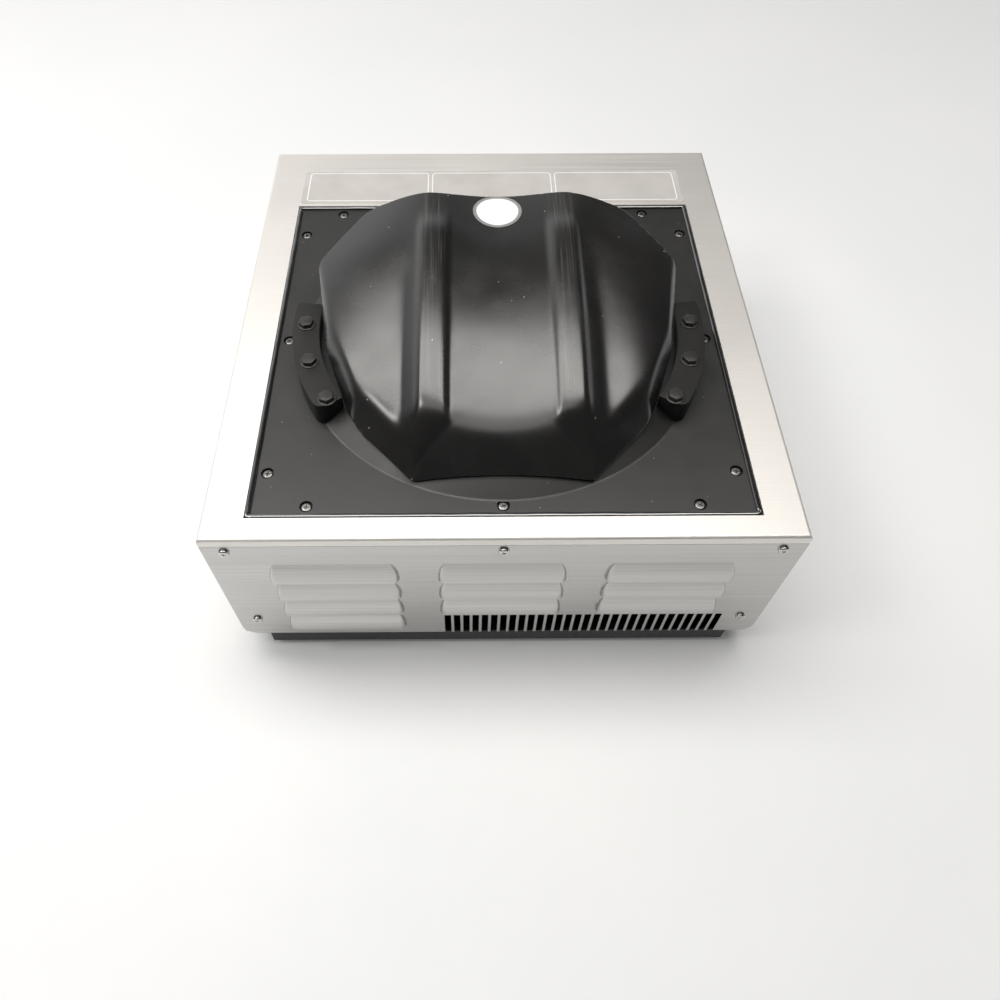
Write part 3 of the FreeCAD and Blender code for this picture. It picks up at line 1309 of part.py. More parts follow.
def temperature_knob():
    """Fluted knob on the shaft of a potentiometer, whose bush is clamped to the panel by a nut."""
    spot = ("knob_x", "knob_z")
    pot = rod("PotCan", "y", spot[0], f"{PANEL_BACK} - pot_depth", spot[1], "pot_depth", "pot_radius")
    bush = rod("PotBush", "y", spot[0], PANEL_BACK, spot[1], "sheet + bush_reach", "bush_radius")
    bore = rod("PotBore", "y", spot[0], f"{PANEL_FRONT} - sheet - shaft_tail - hub_gap", spot[1],
               "shaft_tail + hub_gap + sheet + bush_reach", "shaft_radius + shaft_fit")
    finish(cut("Potentiometer", fuse("PotSolid", [pot, bush]), bore), "potentiometer")
    blank = hexagon("KnobNutBlank", "y", spot[0], PANEL_FRONT, spot[1], "knob_nut_height", "knob_nut")
    thread = rod("KnobNutThread", "y", spot[0], PANEL_FRONT, spot[1], "knob_nut_height",
                 "bush_radius + hole_clearance")
    finish(cut("KnobNut", blank, thread), "knob_nut")
    shaft_end = f"({PANEL_FRONT} + knob_gap + knob_recess_depth + shaft_seat)"
    shaft = rod("Shaft", "y", spot[0], f"{PANEL_BACK} - shaft_tail", spot[1],
                f"{shaft_end} - {PANEL_BACK} + shaft_tail", "shaft_radius")
    finish(group("KnobShaft", [shaft]), "knob_shaft")
    body = new_body("TemperatureKnob")
    blank = new_sketch(body, "XZ_Plane", "-knob_gap")
    circle(blank, "0", "0", "knob_radius")
    pad(body, blank, "knob_reach - knob_gap", reverse=True)
    reach = value("knob_reach")
    round_edges(body, "flute_radius", lambda a, b: near(a.y, reach) and near(b.y, reach))
    recess = new_sketch(body, "XZ_Plane", "-knob_gap")
    circle(recess, "0", "0", "knob_recess")
    pocket(body, recess, "knob_recess_depth")
    seat = new_sketch(body, "XZ_Plane", "-knob_gap")
    circle(seat, "0", "0", "shaft_radius")
    pocket(body, seat, "knob_recess_depth + shaft_seat")
    pointer = new_sketch(body, "XZ_Plane", "-knob_reach")
    rectangle(pointer, "-flute_radius/2", "flute_radius/2", "knob_radius/3", "knob_radius - 2*flute_radius")
    pocket(body, pointer, "flute_radius/2", reverse=True)
    flute = new_sketch(body, "XZ_Plane", "-knob_gap")
    circle(flute, "knob_radius + flute_radius/2", "0", "flute_radius")
    groove = pocket(body, flute, "knob_reach")
    ring_of(body, groove, "Y_Axis", "flute_count")
    finish(body, "temperature_knob")
    place(body, spot[0], f"{PANEL_FRONT} + {FRAME_SHIFT}", spot[1])


def inlet_screws():
    seat = "(-case_width/2 - inlet_flange)"
    made = [rod("InletScrew", "x", seat, y, "inlet_z", "screw_length", "screw_radius") for y in INLET_SCREWS]
    finish(group("InletScrews", made), "inlet_screws")


top_cover()
rear_panel()
front_panel()
base_pan()
feet()
case_screws()
deck = deck_plate()
deck_seal()
deck_screws()
clamp_bars(deck)
hood()
heating_block()
disc_stack()
block_controls()
fan_frame()
fan_rotor()
power_board()
board_parts()
mains_inlet()
inlet_screws()
control_board()
push_buttons()
power_switch()
temperature_knob()
doc.recompute()

failed = [thing.Label for thing in doc.Objects if {"Invalid", "Error"} & set(thing.State)]
broken = [piece.Label for piece in finished if piece.Shape.isNull() or not piece.Shape.isValid()]
if failed or broken:
    raise SystemExit(f"not built: {failed}; not valid: {broken}")
os.makedirs("parts", exist_ok=True)
for piece in finished:
    piece.Shape.exportStep(f"parts/{piece.Label}.step")
print(len(finished), "sub-parts")
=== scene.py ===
import math

import bmesh
import bpy
from mathutils import Matrix, Vector


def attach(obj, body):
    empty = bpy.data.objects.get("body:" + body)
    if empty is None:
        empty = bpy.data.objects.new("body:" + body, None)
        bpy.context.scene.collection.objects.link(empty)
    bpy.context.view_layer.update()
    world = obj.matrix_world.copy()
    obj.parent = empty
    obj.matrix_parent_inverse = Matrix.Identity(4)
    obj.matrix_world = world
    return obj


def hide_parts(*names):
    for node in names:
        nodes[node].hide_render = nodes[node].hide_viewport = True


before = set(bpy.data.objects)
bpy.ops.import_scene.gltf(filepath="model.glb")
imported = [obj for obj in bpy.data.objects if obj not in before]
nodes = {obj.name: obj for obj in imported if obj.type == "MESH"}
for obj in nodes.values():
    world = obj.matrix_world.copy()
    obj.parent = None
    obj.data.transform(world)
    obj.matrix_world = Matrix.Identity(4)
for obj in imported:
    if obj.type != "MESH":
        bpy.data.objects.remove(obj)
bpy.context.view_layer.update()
MM = 0.001

# Base pan
# A tub folded from mild steel sheet with a black powder coat. It shows as the plinth under the stainless
# case, and its upturned flange is screwed to the side walls from outside.


def new_finish(name, **even):
    """A material with the numbers that are the same all over set on its shader."""
    finish = bpy.data.materials.new(name)
    finish.use_nodes = True
    shader = finish.node_tree.nodes["Principled BSDF"]
    for socket, number in even.items():
        shader.inputs[socket.replace("_", " ")].default_value = number
    return finish


def add_node(finish, kind, **settings):
    """A node in a finish. A setting goes to the socket of its name, or to the node itself."""
    node = finish.node_tree.nodes.new("ShaderNode" + kind)
    for name, setting in settings.items():
        socket = node.inputs.get(name.replace("_", " "))
        if socket is None:
            setattr(node, name, setting)
        else:
            socket.default_value = setting
    return node


def link(finish, source, target):
    finish.node_tree.links.new(source, target)


def feed(finish, socket, source):
    """Drive one of the shader's sockets by a pattern."""
    link(finish, source, finish.node_tree.nodes["Principled BSDF"].inputs[socket])


def own_place(finish):
    """The piece's own coordinates, in metres."""
    return add_node(finish, "TexCoord").outputs["Object"]


def grain(finish, scale, stretch=(1, 1, 1), detail=3.0):
    """Noise over the piece's own coordinates, drawn out along the axes that have a small stretch."""
    mapping = add_node(finish, "Mapping", Scale=stretch)
    noise = add_node(finish, "TexNoise", Scale=scale, Detail=detail)
    link(finish, own_place(finish), mapping.inputs["Vector"])
    link(finish, mapping.outputs["Vector"], noise.inputs["Vector"])
    return noise.outputs["Fac"]


def span(finish, source, low, high, start=0.3, stop=0.7):
    """A number that goes from low to high as a pattern goes from start to stop."""
    node = add_node(finish, "MapRange", From_Min=start, From_Max=stop, To_Min=low, To_Max=high)
    link(finish, source, node.inputs["Value"])
    return node.outputs["Result"]


def tint(finish, source, first, second):
    """A colour between two, by a pattern that goes from 0 to 1."""
    node = add_node(finish, "Mix", data_type="RGBA")
    for slot, colour in ((6, first), (7, second)):
        if isinstance(colour, tuple):
            node.inputs[slot].default_value = (*colour, 1)
        else:
            link(finish, colour, node.inputs[slot])
    link(finish, source, node.inputs[0])
    return node.outputs[2]


def relief(finish, source, depth):
    """Raise the surface by a pattern, by a depth in metres."""
    bump = add_node(finish, "Bump", Strength=1.0, Distance=depth)
    link(finish, source, bump.inputs["Height"])
    feed(finish, "Normal", bump.outputs["Normal"])


def mottled(name, dark, light, patch, smooth, rough, fine, depth=0.0, **even):
    """A finish whose colour varies in patches, and whose sheen and surface vary in a fine grain."""
    finish = new_finish(name, **even)
    patches = span(finish, grain(finish, patch, detail=5.0), 0, 1)
    feed(finish, "Base Color", tint(finish, patches, dark, light))
    texture = grain(finish, fine)
    feed(finish, "Roughness", span(finish, texture, smooth, rough))
    if depth:
        relief(finish, texture, depth)
    return finish


def dress(finish, *names):
    """Give CAD nodes a finish."""
    for name in names:
        nodes[name].material_slots[0].material = finish


powder_coat = mottled("black_powder_coat", (0.012, 0.012, 0.013), (0.024, 0.024, 0.025), 30,
                      0.42, 0.6, 900, 0.00012)
dress(powder_coat, "base_pan")

# Feet
# Four moulded rubber feet with a rounded tread and a hollow for the stud's head. Each is held by a stud
# pressed through the pan's floor.


def pick(piece, kind, test):
    """In edit mode, select the corners, edges or faces whose middle and direction pass a test."""
    bpy.ops.mesh.select_mode(type=kind)
    bpy.ops.mesh.select_all(action="DESELECT")
    cage = bmesh.from_edit_mesh(piece.data)
    cage.normal_update()
    for part in {"VERT": cage.verts, "EDGE": cage.edges, "FACE": cage.faces}[kind]:
        corners = [part] if kind == "VERT" else list(part.verts)
        middle = sum((corner.co for corner in corners), Vector()) / len(corners)
        way = corners[1].co - corners[0].co if kind == "EDGE" else part.normal
        if test(middle, way.normalized()):
            part.select_set(True)
    cage.select_flush_mode()
    bmesh.update_edit_mesh(piece.data)


def facing_down(middle, normal):
    return normal.z < -0.9


def pick_all():
    bpy.ops.mesh.select_all(action="SELECT")


def soften(piece, test, offset, segments):
    """In edit mode, bevel the edges that pass a test."""
    pick(piece, "EDGE", test)
    bpy.ops.mesh.bevel(offset=offset, segments=segments, affect="EDGES")


def choose(piece):
    """Make a piece the only selected and active one."""
    bpy.ops.object.select_all(action="DESELECT")
    piece.select_set(True)
    bpy.context.view_layer.objects.active = piece


def settle(piece, name):
    """Name a piece and put its place, turn and size into its mesh."""
    piece.name = name
    choose(piece)
    bpy.ops.object.transform_apply(location=True, rotation=True, scale=True)
    return piece


def edit(piece):
    choose(piece)
    bpy.ops.object.mode_set(mode="EDIT")


def leave():
    bpy.ops.object.mode_set(mode="OBJECT")


def smooth(piece, angle):
    """Shade a piece smooth, apart from edges sharper than an angle."""
    choose(piece)
    bpy.ops.object.shade_smooth_by_angle(angle=math.radians(angle))
    return piece


def done(angle=35):
    """Leave edit mode and shade the active piece smooth."""
    leave()
    return smooth(bpy.context.object, angle)


def push(x, y, z):
    """Extrude what is selected."""
    bpy.ops.mesh.extrude_region_move(TRANSFORM_OT_translate={"value": (x, y, z)})


def drum(name, radius, low, high, sides=48):
    """A round blank along Z, ready to shape."""
    bpy.ops.mesh.primitive_cylinder_add(vertices=sides, radius=radius, depth=high - low,
                                        location=(0, 0, (low + high) / 2))
    return settle(bpy.context.object, name)


def brick(name, low, high):
    """A square blank between two corners, ready to shape."""
    low = Vector(low)
    high = Vector(high)
    bpy.ops.mesh.primitive_cube_add(size=1, location=(low + high) / 2, scale=high - low)
    return settle(bpy.context.object, name)


def merge(name, pieces):
    """Join pieces into one."""
    choose(pieces[0])
    for piece in pieces:
        piece.select_set(True)
    bpy.ops.object.join()
    pieces[0].name = name
    return pieces[0]


def set_out(original, name, places):
    """Copy a modelled piece to each place, join the copies into one piece and delete the original."""
    copies = []
    for number, place in enumerate(places):
        mesh = original.data.copy()
        mesh.transform(place)
        copies.append(bpy.data.objects.new(f"{name}_{number}", mesh))
        bpy.context.collection.objects.link(copies[-1])
    bpy.data.objects.remove(original)
    return merge(name, copies)


def fit(piece, finish, body, slot, *stands_for):
    """Put a finish on a new piece, let it ride on a body and hide the CAD nodes it stands for."""
    piece.data.materials.clear()
    piece.data.materials.append(finish)
    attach(piece, body)
    if stands_for:
        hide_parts(*stands_for)


foot_radius = 11 * MM
foot_height = 8 * MM
foot_x = 150
foot_y = 175
case_middle = -4.5
foot = drum("foot", foot_radius, 0, foot_height)
edit(foot)
pick(foot, "FACE", facing_down)
bpy.ops.mesh.inset(thickness=5 * MM)
push(0, 0, 3 * MM)
soften(foot, lambda middle, way: abs(way.z) < 0.1 and middle.xy.length > 0.9 * foot_radius, 1.4 * MM, 4)
feet = set_out(done(), "rubber_feet", [
    Matrix.Translation((x * foot_x * MM, (y * foot_y + case_middle) * MM, 0))
    for x in (-1, 1) for y in (-1, 1)])
foot_rubber = mottled("foot_rubber", (0.012, 0.012, 0.012), (0.03, 0.03, 0.029), 120, 0.7, 0.9, 900, 0.0001)
fit(feet, foot_rubber, "case", "foot_rubber", "feet")

# Fan
# A square axial fan on the pan's floor, moulded in glass-filled black plastic, drawing air through the
# slots under it. Four long screws go through its corners.
fan_plastic = mottled("fan_plastic", (0.016, 0.016, 0.018), (0.032, 0.032, 0.034), 80,
                      0.38, 0.55, 1200, 0.00004)
dress(fan_plastic, "fan_frame", "fan_rotor")

# Power board
# A green circuit board on brass standoffs, with a taped transformer, a blue relay, a finned heat sink
# for the triac, and a green screw terminal block.
board_mask = mottled("board_mask", (0.012, 0.07, 0.03), (0.025, 0.14, 0.06), 60, 0.3, 0.42, 400, 0.00005)
dress(board_mask, "power_board", "control_board")
turned_brass = mottled("turned_brass", (0.62, 0.44, 0.18), (0.76, 0.58, 0.28), 200, 0.18, 0.36, 900,
                       Metallic=1.0)
dress(turned_brass, "board_standoffs", "inlet_pins")
winding_tape = mottled("winding_tape", (0.42, 0.25, 0.04), (0.62, 0.42, 0.1), 70, 0.4, 0.6, 300, 0.0001)
dress(winding_tape, "transformer")
relay_case = mottled("relay_case", (0.02, 0.07, 0.28), (0.03, 0.1, 0.36), 50, 0.25, 0.4, 500)
dress(relay_case, "relay")
terminal_plastic = mottled("terminal_plastic", (0.03, 0.22, 0.09), (0.05, 0.3, 0.13), 60, 0.4, 0.55, 600)
dress(terminal_plastic, "terminal_block")
moulded_black = mottled("moulded_black", (0.014, 0.014, 0.015), (0.026, 0.026, 0.028), 90,
                        0.36, 0.52, 1500, 0.00003)
dress(moulded_black, "triac", "thermal_cutout", "button_switches", "rocker_body", "potentiometer")
mill_aluminium = mottled("mill_aluminium", (0.62, 0.62, 0.63), (0.76, 0.76, 0.77), 40, 0.26, 0.42, 700,
                         Metallic=1.0)
dress(mill_aluminium, "heat_sink", "pressure_plate", "block_tray", "tray_posts", "panel_standoffs")

# Heating block
# A round aluminium block, turned and bead-blasted, with an arc of tube wells in front of the hood. A dark
# silicone gasket centres it in the collar, and felted insulation holds it below.
blasted_alloy = mottled("blasted_alloy", (0.68, 0.68, 0.69), (0.8, 0.8, 0.81), 25, 0.4, 0.56, 1600, 0.00005,
                        Metallic=1.0)
dress(blasted_alloy, "heating_block")
red_silicone = mottled("red_silicone", (0.24, 0.03, 0.02), (0.36, 0.06, 0.04), 100, 0.5, 0.7, 500)
dress(red_silicone, "heater_mat")
dark_silicone = mottled("dark_silicone", (0.012, 0.011, 0.011), (0.022, 0.02, 0.02), 100, 0.5, 0.7, 500)
dress(dark_silicone, "block_gasket")
felted_fibre = mottled("felted_fibre", (0.6, 0.57, 0.48), (0.8, 0.78, 0.7), 500, 0.9, 1.0, 700, 0.0006)
dress(felted_fibre, "insulation_cup")
plated_steel = mottled("plated_steel", (0.5, 0.5, 0.5), (0.66, 0.66, 0.65), 300, 0.16, 0.34, 900,
                       Metallic=1.0)
dress(plated_steel, "sensor_probe", "knob_shaft", "knob_nut", "clamp_nuts", "fan_screws")

# Case
# Top cover with its side walls, rear panel and operator's panel, folded from brushed stainless sheet. The
# brush lines run across the top and the end panels, and front to back on the side walls.


def compute(finish, operation, *terms):
    """The result of a sum on patterns and plain numbers."""
    node = add_node(finish, "Math", operation=operation)
    for socket, term in zip(node.inputs, terms):
        if isinstance(term, (int, float)):
            socket.default_value = term
        else:
            link(finish, term, socket)
    return node.outputs[0]


def apart(finish, source):
    """The X, Y and Z of a vector."""
    node = add_node(finish, "SeparateXYZ")
    link(finish, source, node.inputs["Vector"])
    return node.outputs


def stainless(name, bright, dull, smear, dark, light):
    """Brushed sheet: fine lines, and a patchy smear where it has been handled."""
    finish = new_finish(name, Metallic=1.0)
    facing = apart(finish, add_node(finish, "NewGeometry").outputs["Normal"])
    lines = add_node(finish, "Mix", data_type="FLOAT")
    link(finish, compute(finish, "ABSOLUTE", facing["X"]), lines.inputs[0])
    link(finish, grain(finish, 1, (5, 1500, 1500)), lines.inputs[2])
    link(finish, grain(finish, 1, (1500, 5, 1500)), lines.inputs[3])
    brushed = lines.outputs[0]
    handled = span(finish, grain(finish, 9, detail=5.0), 0, 1, 0.42, 0.72)
    sheen = span(finish, brushed, bright, dull)
    feed(finish, "Roughness", compute(finish, "MULTIPLY_ADD", handled, smear, sheen))
    feed(finish, "Base Color", tint(finish, span(finish, brushed, 0, 1), dark, light))
    relief(finish, brushed, 0.000012)
    return finish


dress(stainless("brushed_stainless", 0.48, 0.6, 0.05, (0.785, 0.76, 0.73), (0.875, 0.85, 0.82)), "top_cover")
dress(stainless("polished_stainless", 0.14, 0.22, 0.08, (0.46, 0.455, 0.445), (0.56, 0.555, 0.54)),
      "rear_panel", "front_panel")

# Case screws
# Plated pan-head screws with a cross recess. Five hold each end panel to the cover's rims and three on each
# side hold the cover to the pan.
rear_face = -217
front_face = 208
side_face = 200
side_screw_z = 32
panel_spots = [(-185, 151.3), (0, 151.3), (185, 151.3), (-185, 50), (185, 50)]
side_spots = [(side, y) for side in (-1, 1) for y in (-154.5, -4.5, 145.5)]


def finish_with(piece, kind, **settings):
    """Add a modifier to a piece and apply it."""
    modifier = piece.modifiers.new(kind.lower(), kind)
    for name, setting in settings.items():
        setattr(modifier, name, setting)
    choose(piece)
    bpy.ops.object.modifier_apply(modifier=modifier.name)


def carve(piece, tool, operation="DIFFERENCE"):
    """Cut a tool's shape out of a piece, or build it on, and delete the tool."""
    finish_with(piece, "BOOLEAN", object=tool, operation=operation, solver="EXACT")
    bpy.data.objects.remove(tool)


def cross_screw(head, height, shank, length):
    """A screw that stands on its head's seat at the origin, with its cross recess upward."""
    screw = drum("cross_screw", head, 0, height, 40)
    edit(screw)
    soften(screw, lambda middle, way: middle.z > 0.99 * height and middle.xy.length > 0.9 * head,
           0.6 * height, 5)
    pick(screw, "FACE", facing_down)
    bpy.ops.mesh.inset(thickness=head - shank)
    push(0, 0, -length)
    leave()
    for long, short in ((0.62, 0.13), (0.13, 0.62)):
        arm = brick("recess_arm", (-long * head, -short * head, 0.35 * height),
                    (long * head, short * head, 2 * height))
        edit(arm)
        pick(arm, "FACE", facing_down)
        bpy.ops.transform.resize(value=(0.55, 0.55, 1))
        leave()
        carve(screw, arm)
    return smooth(screw, 30)


def panel_screw():
    return cross_screw(3.75 * MM, 2.2 * MM, 2 * MM, 3 * MM)


def turned(x, y, z, axis, quarter, spin):
    """A place on the case: the piece's axis turned by quarter turns, and the piece spun about its axis."""
    return (Matrix.Translation(Vector((x, y, z)) * MM) @ Matrix.Rotation(math.radians(90 * quarter), 4, axis)
            @ Matrix.Rotation(math.radians(spin), 4, "Z"))


for name, face, quarter, spin, node in (("rear_screws", rear_face, 1, 31, "rear_panel_screws"),
                                        ("front_screws", front_face, -1, 23, "front_panel_screws")):
    places = [turned(x, face, z, "X", quarter, spin * n) for n, (x, z) in enumerate(panel_spots)]
    fit(set_out(panel_screw(), name, places), plated_steel, "case", "bright_steel", node)
side_screws = set_out(panel_screw(), "side_screws", [
    turned(side_face * side, y, side_screw_z, "Y", side, 37 * n) for n, (side, y) in enumerate(side_spots)])
fit(side_screws, plated_steel, "case", "bright_steel", "base_screws")

# Mains inlet
# A moulded three-pole inlet clipped through the left wall, with a rounded flange, a socket with two clipped
# corners and two flush countersunk screws.
inlet_face = 2 * MM
inlet_screw_x = 20
inlet_place = (Matrix.Translation((-200 * MM, -124.5 * MM, 70 * MM))
               @ Matrix(((0, 0, -1, 0), (-1, 0, 0, 0), (0, 1, 0, 0), (0, 0, 0, 1))))


def rounded_sheet(name, x, y, z, width, depth, corner):
    """A flat sheet with rounded corners, ready to shape in edit mode."""
    bpy.ops.mesh.primitive_plane_add(size=1, location=(x, y, z))
    sheet = bpy.context.object
    sheet.scale = (width, depth, 1)
    settle(sheet, name)
    edit(sheet)
    pick_all()
    bpy.ops.mesh.bevel(offset=corner, segments=6, affect="VERTICES")
    pick_all()
    return sheet


inlet = rounded_sheet("inlet", 0, 0, 0, 50 * MM, 23.5 * MM, 4 * MM)
push(0, 0, inlet_face)
soften(inlet, lambda middle, way: middle.z > 0.9 * inlet_face, 0.5 * MM, 3)
leave()
shell = brick("inlet_shell", (-13.7 * MM, -9.9 * MM, -20 * MM), (13.7 * MM, 9.9 * MM, 1 * MM))
carve(inlet, shell, "UNION")
socket = brick("inlet_socket", (-11.9 * MM, -8.1 * MM, -14 * MM), (11.9 * MM, 8.1 * MM, 5 * MM))
edit(socket)
soften(socket, lambda middle, way: abs(way.z) > 0.9 and middle.y > 0, 4 * MM, 1)
soften(socket, lambda middle, way: abs(way.z) > 0.9 and middle.y < 0, 1 * MM, 3)
leave()
carve(inlet, socket)
for side in (-1, 1):
    bpy.ops.mesh.primitive_cone_add(vertices=40, radius1=1.6 * MM, radius2=3.3 * MM, depth=2.4 * MM,
                                    location=(side * inlet_screw_x * MM, 0, 1 * MM))
    carve(inlet, settle(bpy.context.object, "countersink"))
inlet.data.transform(inlet_place)
edit(inlet)
pick_all()
bpy.ops.mesh.normals_make_consistent(inside=False)
done(30)
fit(inlet, moulded_black, "case", "black_plastic", "mains_inlet")
flush_screw = cross_screw(2.9 * MM, 1.2 * MM, 1.5 * MM, 5 * MM)
inlet_screws = set_out(flush_screw, "inlet_screws_flush", [
    inlet_place @ Matrix.Translation((x * MM, 0, 0.7 * MM)) @ Matrix.Rotation(0.4 * x, 4, "Z")
    for x in (-inlet_screw_x, inlet_screw_x)])
fit(inlet_screws, plated_steel, "case", "bright_steel", "inlet_screws")

# Display
# A dark segment display on the control board, unlit, behind a tinted window that is held against the back
# of the panel. Each bar of a digit is a moulded light guide that stands slightly proud.
display_face = 202.5
display_z = 115
digit_spots = (-19.5, -6.5, 6.5, 19.5)
bar_spots = [(0, 7, 0), (0, 0, 0), (0, -7, 0)] + [(x, z, 90) for x in (-3.6, 3.6) for z in (-3.5, 3.5)]
bar_reach = 2.6 * MM
display_dark = mottled("display_dark", (0.008, 0.009, 0.01), (0.014, 0.015, 0.016), 60, 0.25, 0.4, 500)
dress(display_dark, "display_module")
bpy.ops.mesh.primitive_circle_add(vertices=6, radius=0.85 * MM, fill_type="NGON",
                                  rotation=(0, 0, math.radians(30)))
segment = settle(bpy.context.object, "segment")
edit(segment)
for side in (-1, 1):
    pick(segment, "VERT", lambda middle, way: middle.x * side > 0.1 * MM)
    bpy.ops.transform.translate(value=(side * bar_reach, 0, 0))
pick_all()
push(0, 0, 0.15 * MM)
digits = set_out(done(20), "display_segments", [
    turned(middle + x, display_face, display_z + z, "X", -1, spin)
    for middle in digit_spots for x, z, spin in bar_spots])
unlit = mottled("unlit_segment", (0.1, 0.1, 0.095), (0.15, 0.15, 0.145), 200, 0.35, 0.5, 900)
fit(digits, unlit, "case", "display_dark")
tinted = mottled("tinted_window", (0.34, 0.36, 0.38), (0.4, 0.42, 0.44), 20, 0.02, 0.06, 60,
                 Transmission_Weight=1.0, IOR=1.46)
dress(tinted, "display_window")

# Push buttons
# Three caps moulded in grey plastic, each with a collar that keeps it behind the panel and a stem that
# works its switch. Their dished tops carry printed marks: two arrows and a ring.
button_z = 84
cap_radius = 6 * MM
cap_top = 2.5 * MM
cap_dish = 0.35 * MM
button_plastic = mottled("button_plastic", (0.19, 0.195, 0.21), (0.25, 0.255, 0.27), 90,
                         0.32, 0.46, 1400, 0.00003)
white_ink = mottled("white_ink", (0.74, 0.74, 0.73), (0.84, 0.84, 0.83), 200, 0.4, 0.55, 600)


def upright(middle, way):
    return abs(way.z) > 0.9


def open_ring(disc, thickness):
    """In edit mode, open a flat disc into a ring."""
    pick(disc, "FACE", upright)
    bpy.ops.mesh.inset(thickness=thickness)
    bpy.ops.mesh.bridge_edge_loops()


def push_button(name, x, spin, body, node, mark_radius, mark_sides):
    cap = drum(name, cap_radius, -1.8 * MM, cap_top)
    edit(cap)
    soften(cap, lambda middle, way: middle.z > 0.9 * cap_top and abs(way.z) < 0.1, 0.9 * MM, 4)
    pick(cap, "FACE", lambda middle, normal: middle.z > 0.99 * cap_top)
    bpy.ops.mesh.inset(thickness=0.9 * MM)
    bpy.ops.transform.translate(value=(0, 0, -cap_dish))
    pick(cap, "FACE", facing_down)
    push(0, 0, 0)
    bpy.ops.transform.resize(value=(1.25, 1.25, 1))
    push(0, 0, -2 * MM)
    bpy.ops.mesh.inset(thickness=4.5 * MM)
    push(0, 0, -8.7 * MM)
    done(40)
    mark = drum(f"mark_{name}", mark_radius, cap_top - cap_dish, cap_top - cap_dish / 2, mark_sides)
    edit(mark)
    if mark_sides == 3:
        soften(mark, upright, 0.4 * MM, 3)
    else:
        open_ring(mark, 0.6 * MM)
    done(30)
    spot = [turned(x, front_face, button_z, "X", -1, spin)]
    fit(set_out(cap, name, spot), button_plastic, body, "button_grey", node)
    fit(set_out(mark, f"mark_{name}", spot), white_ink, body, "button_grey")


push_button("up_cap", -30, 180, "up_button", "button_up", 2.6 * MM, 3)
push_button("set_cap", 0, 0, "set_button", "button_set", 1.9 * MM, 32)
push_button("down_cap", 30, 0, "down_button", "button_down", 2.6 * MM, 3)

# Power rocker
# A dished paddle in polished black plastic that tips on two pivots in its bezel. A bar and a ring are
# printed on its ends, and at rest it is pressed in at the ring.
rest_tilt = 10
rocker_place = (Matrix.Translation((140 * MM, 206.5 * MM, 95 * MM))
                @ Matrix.Rotation(math.radians(rest_tilt - 90), 4, "X"))
mark_low = -0.3 * MM
mark_high = 0.08 * MM
paddle = brick("rocker_paddle", (-9 * MM, -12.4 * MM, -1 * MM), (9 * MM, 12.4 * MM, 5 * MM))
edit(paddle)
pick_all()
bpy.ops.mesh.bisect(plane_co=(0, 0, 0), plane_no=(0, 1, 0))
pick(paddle, "VERT", lambda middle, way: abs(middle.y) < 1 * MM and middle.z > 4 * MM)
bpy.ops.transform.translate(value=(0, 0, -2.5 * MM))
soften(paddle, lambda middle, way: abs(middle.y) < 1 * MM and middle.z > 1 * MM and abs(way.x) > 0.9,
       5 * MM, 8)
pick(paddle, "FACE", facing_down)
push(0, 0, -6 * MM)
bpy.ops.transform.resize(value=(1, 0.5, 1))
leave()
finish_with(paddle, "BEVEL", width=0.5 * MM, segments=3, limit_method="ANGLE", angle_limit=math.radians(40))
paddle.data.transform(rocker_place)
smooth(paddle, 30)
polished_black = mottled("polished_black", (0.01, 0.01, 0.011), (0.017, 0.017, 0.018), 70, 0.12, 0.24, 300)
fit(paddle, polished_black, "rocker", "gloss_black", "power_rocker")
on_bar = brick("on_bar", (-0.5 * MM, -2.6 * MM, mark_low), (0.5 * MM, 2.6 * MM, mark_high))
edit(on_bar)
soften(on_bar, upright, 0.35 * MM, 3)
done(30)
off_ring = drum("off_ring", 2.6 * MM, mark_low, mark_high)
edit(off_ring)
open_ring(off_ring, 0.9 * MM)
done(30)
for mark, side in ((on_bar, 1), (off_ring, -1)):
    mark.data.transform(rocker_place @ Matrix.Translation((0, side * 8.4 * MM, 4.2 * MM))
                        @ Matrix.Rotation(side * math.radians(11.4), 4, "X"))
fit(merge("rocker_marks", [on_bar, off_ring]), white_ink, "rocker", "gloss_black")

# Temperature knob
# A fluted knob moulded in black plastic on the shaft of a potentiometer, with a white pointer let into its
# face. Printed ticks stand round it on the panel.
knob_x = -130
knob_z = 100
tick_count = 11
tick_step = 30


def on_dial(spin):
    return turned(knob_x, front_face, knob_z, "X", -1, spin)


dress(moulded_black, "temperature_knob")
pointer = brick("pointer", (-0.75 * MM, 5.8 * MM, 13.2 * MM), (0.75 * MM, 13.7 * MM, 13.85 * MM))
edit(pointer)
soften(pointer, upright, 0.3 * MM, 3)
fit(set_out(done(30), "knob_pointer", [on_dial(180)]), white_ink, "knob", "black_plastic")
tick = brick("tick", (-0.4 * MM, 20.5 * MM, 0), (0.4 * MM, 24 * MM, 0.08 * MM))
edit(tick)
soften(tick, upright, 0.25 * MM, 2)
ticks = set_out(done(30), "dial_ticks", [on_dial(180 - tick_step * n) for n in range(tick_count)])
black_ink = mottled("black_ink", (0.02, 0.02, 0.02), (0.035, 0.035, 0.034), 200, 0.45, 0.6, 700)
fit(ticks, black_ink, "case", "black_plastic")

# Deck plate
# A thick plate with its collar turned in one piece, let into the top. Its satin black coating is dusty and
# a little uneven in sheen.


def specks(finish, cells, size, kept):
    """Small spots, one in some of the cells of a scatter: 1 inside a spot and 0 outside."""
    scatter = add_node(finish, "TexVoronoi", Scale=cells)
    cell = add_node(finish, "SeparateColor")
    link(finish, own_place(finish), scatter.inputs["Vector"])
    link(finish, scatter.outputs["Color"], cell.inputs[0])
    inside = compute(finish, "LESS_THAN", scatter.outputs["Distance"], size)
    some = compute(finish, "GREATER_THAN", cell.outputs[0], kept)
    return compute(finish, "MULTIPLY", inside, some)


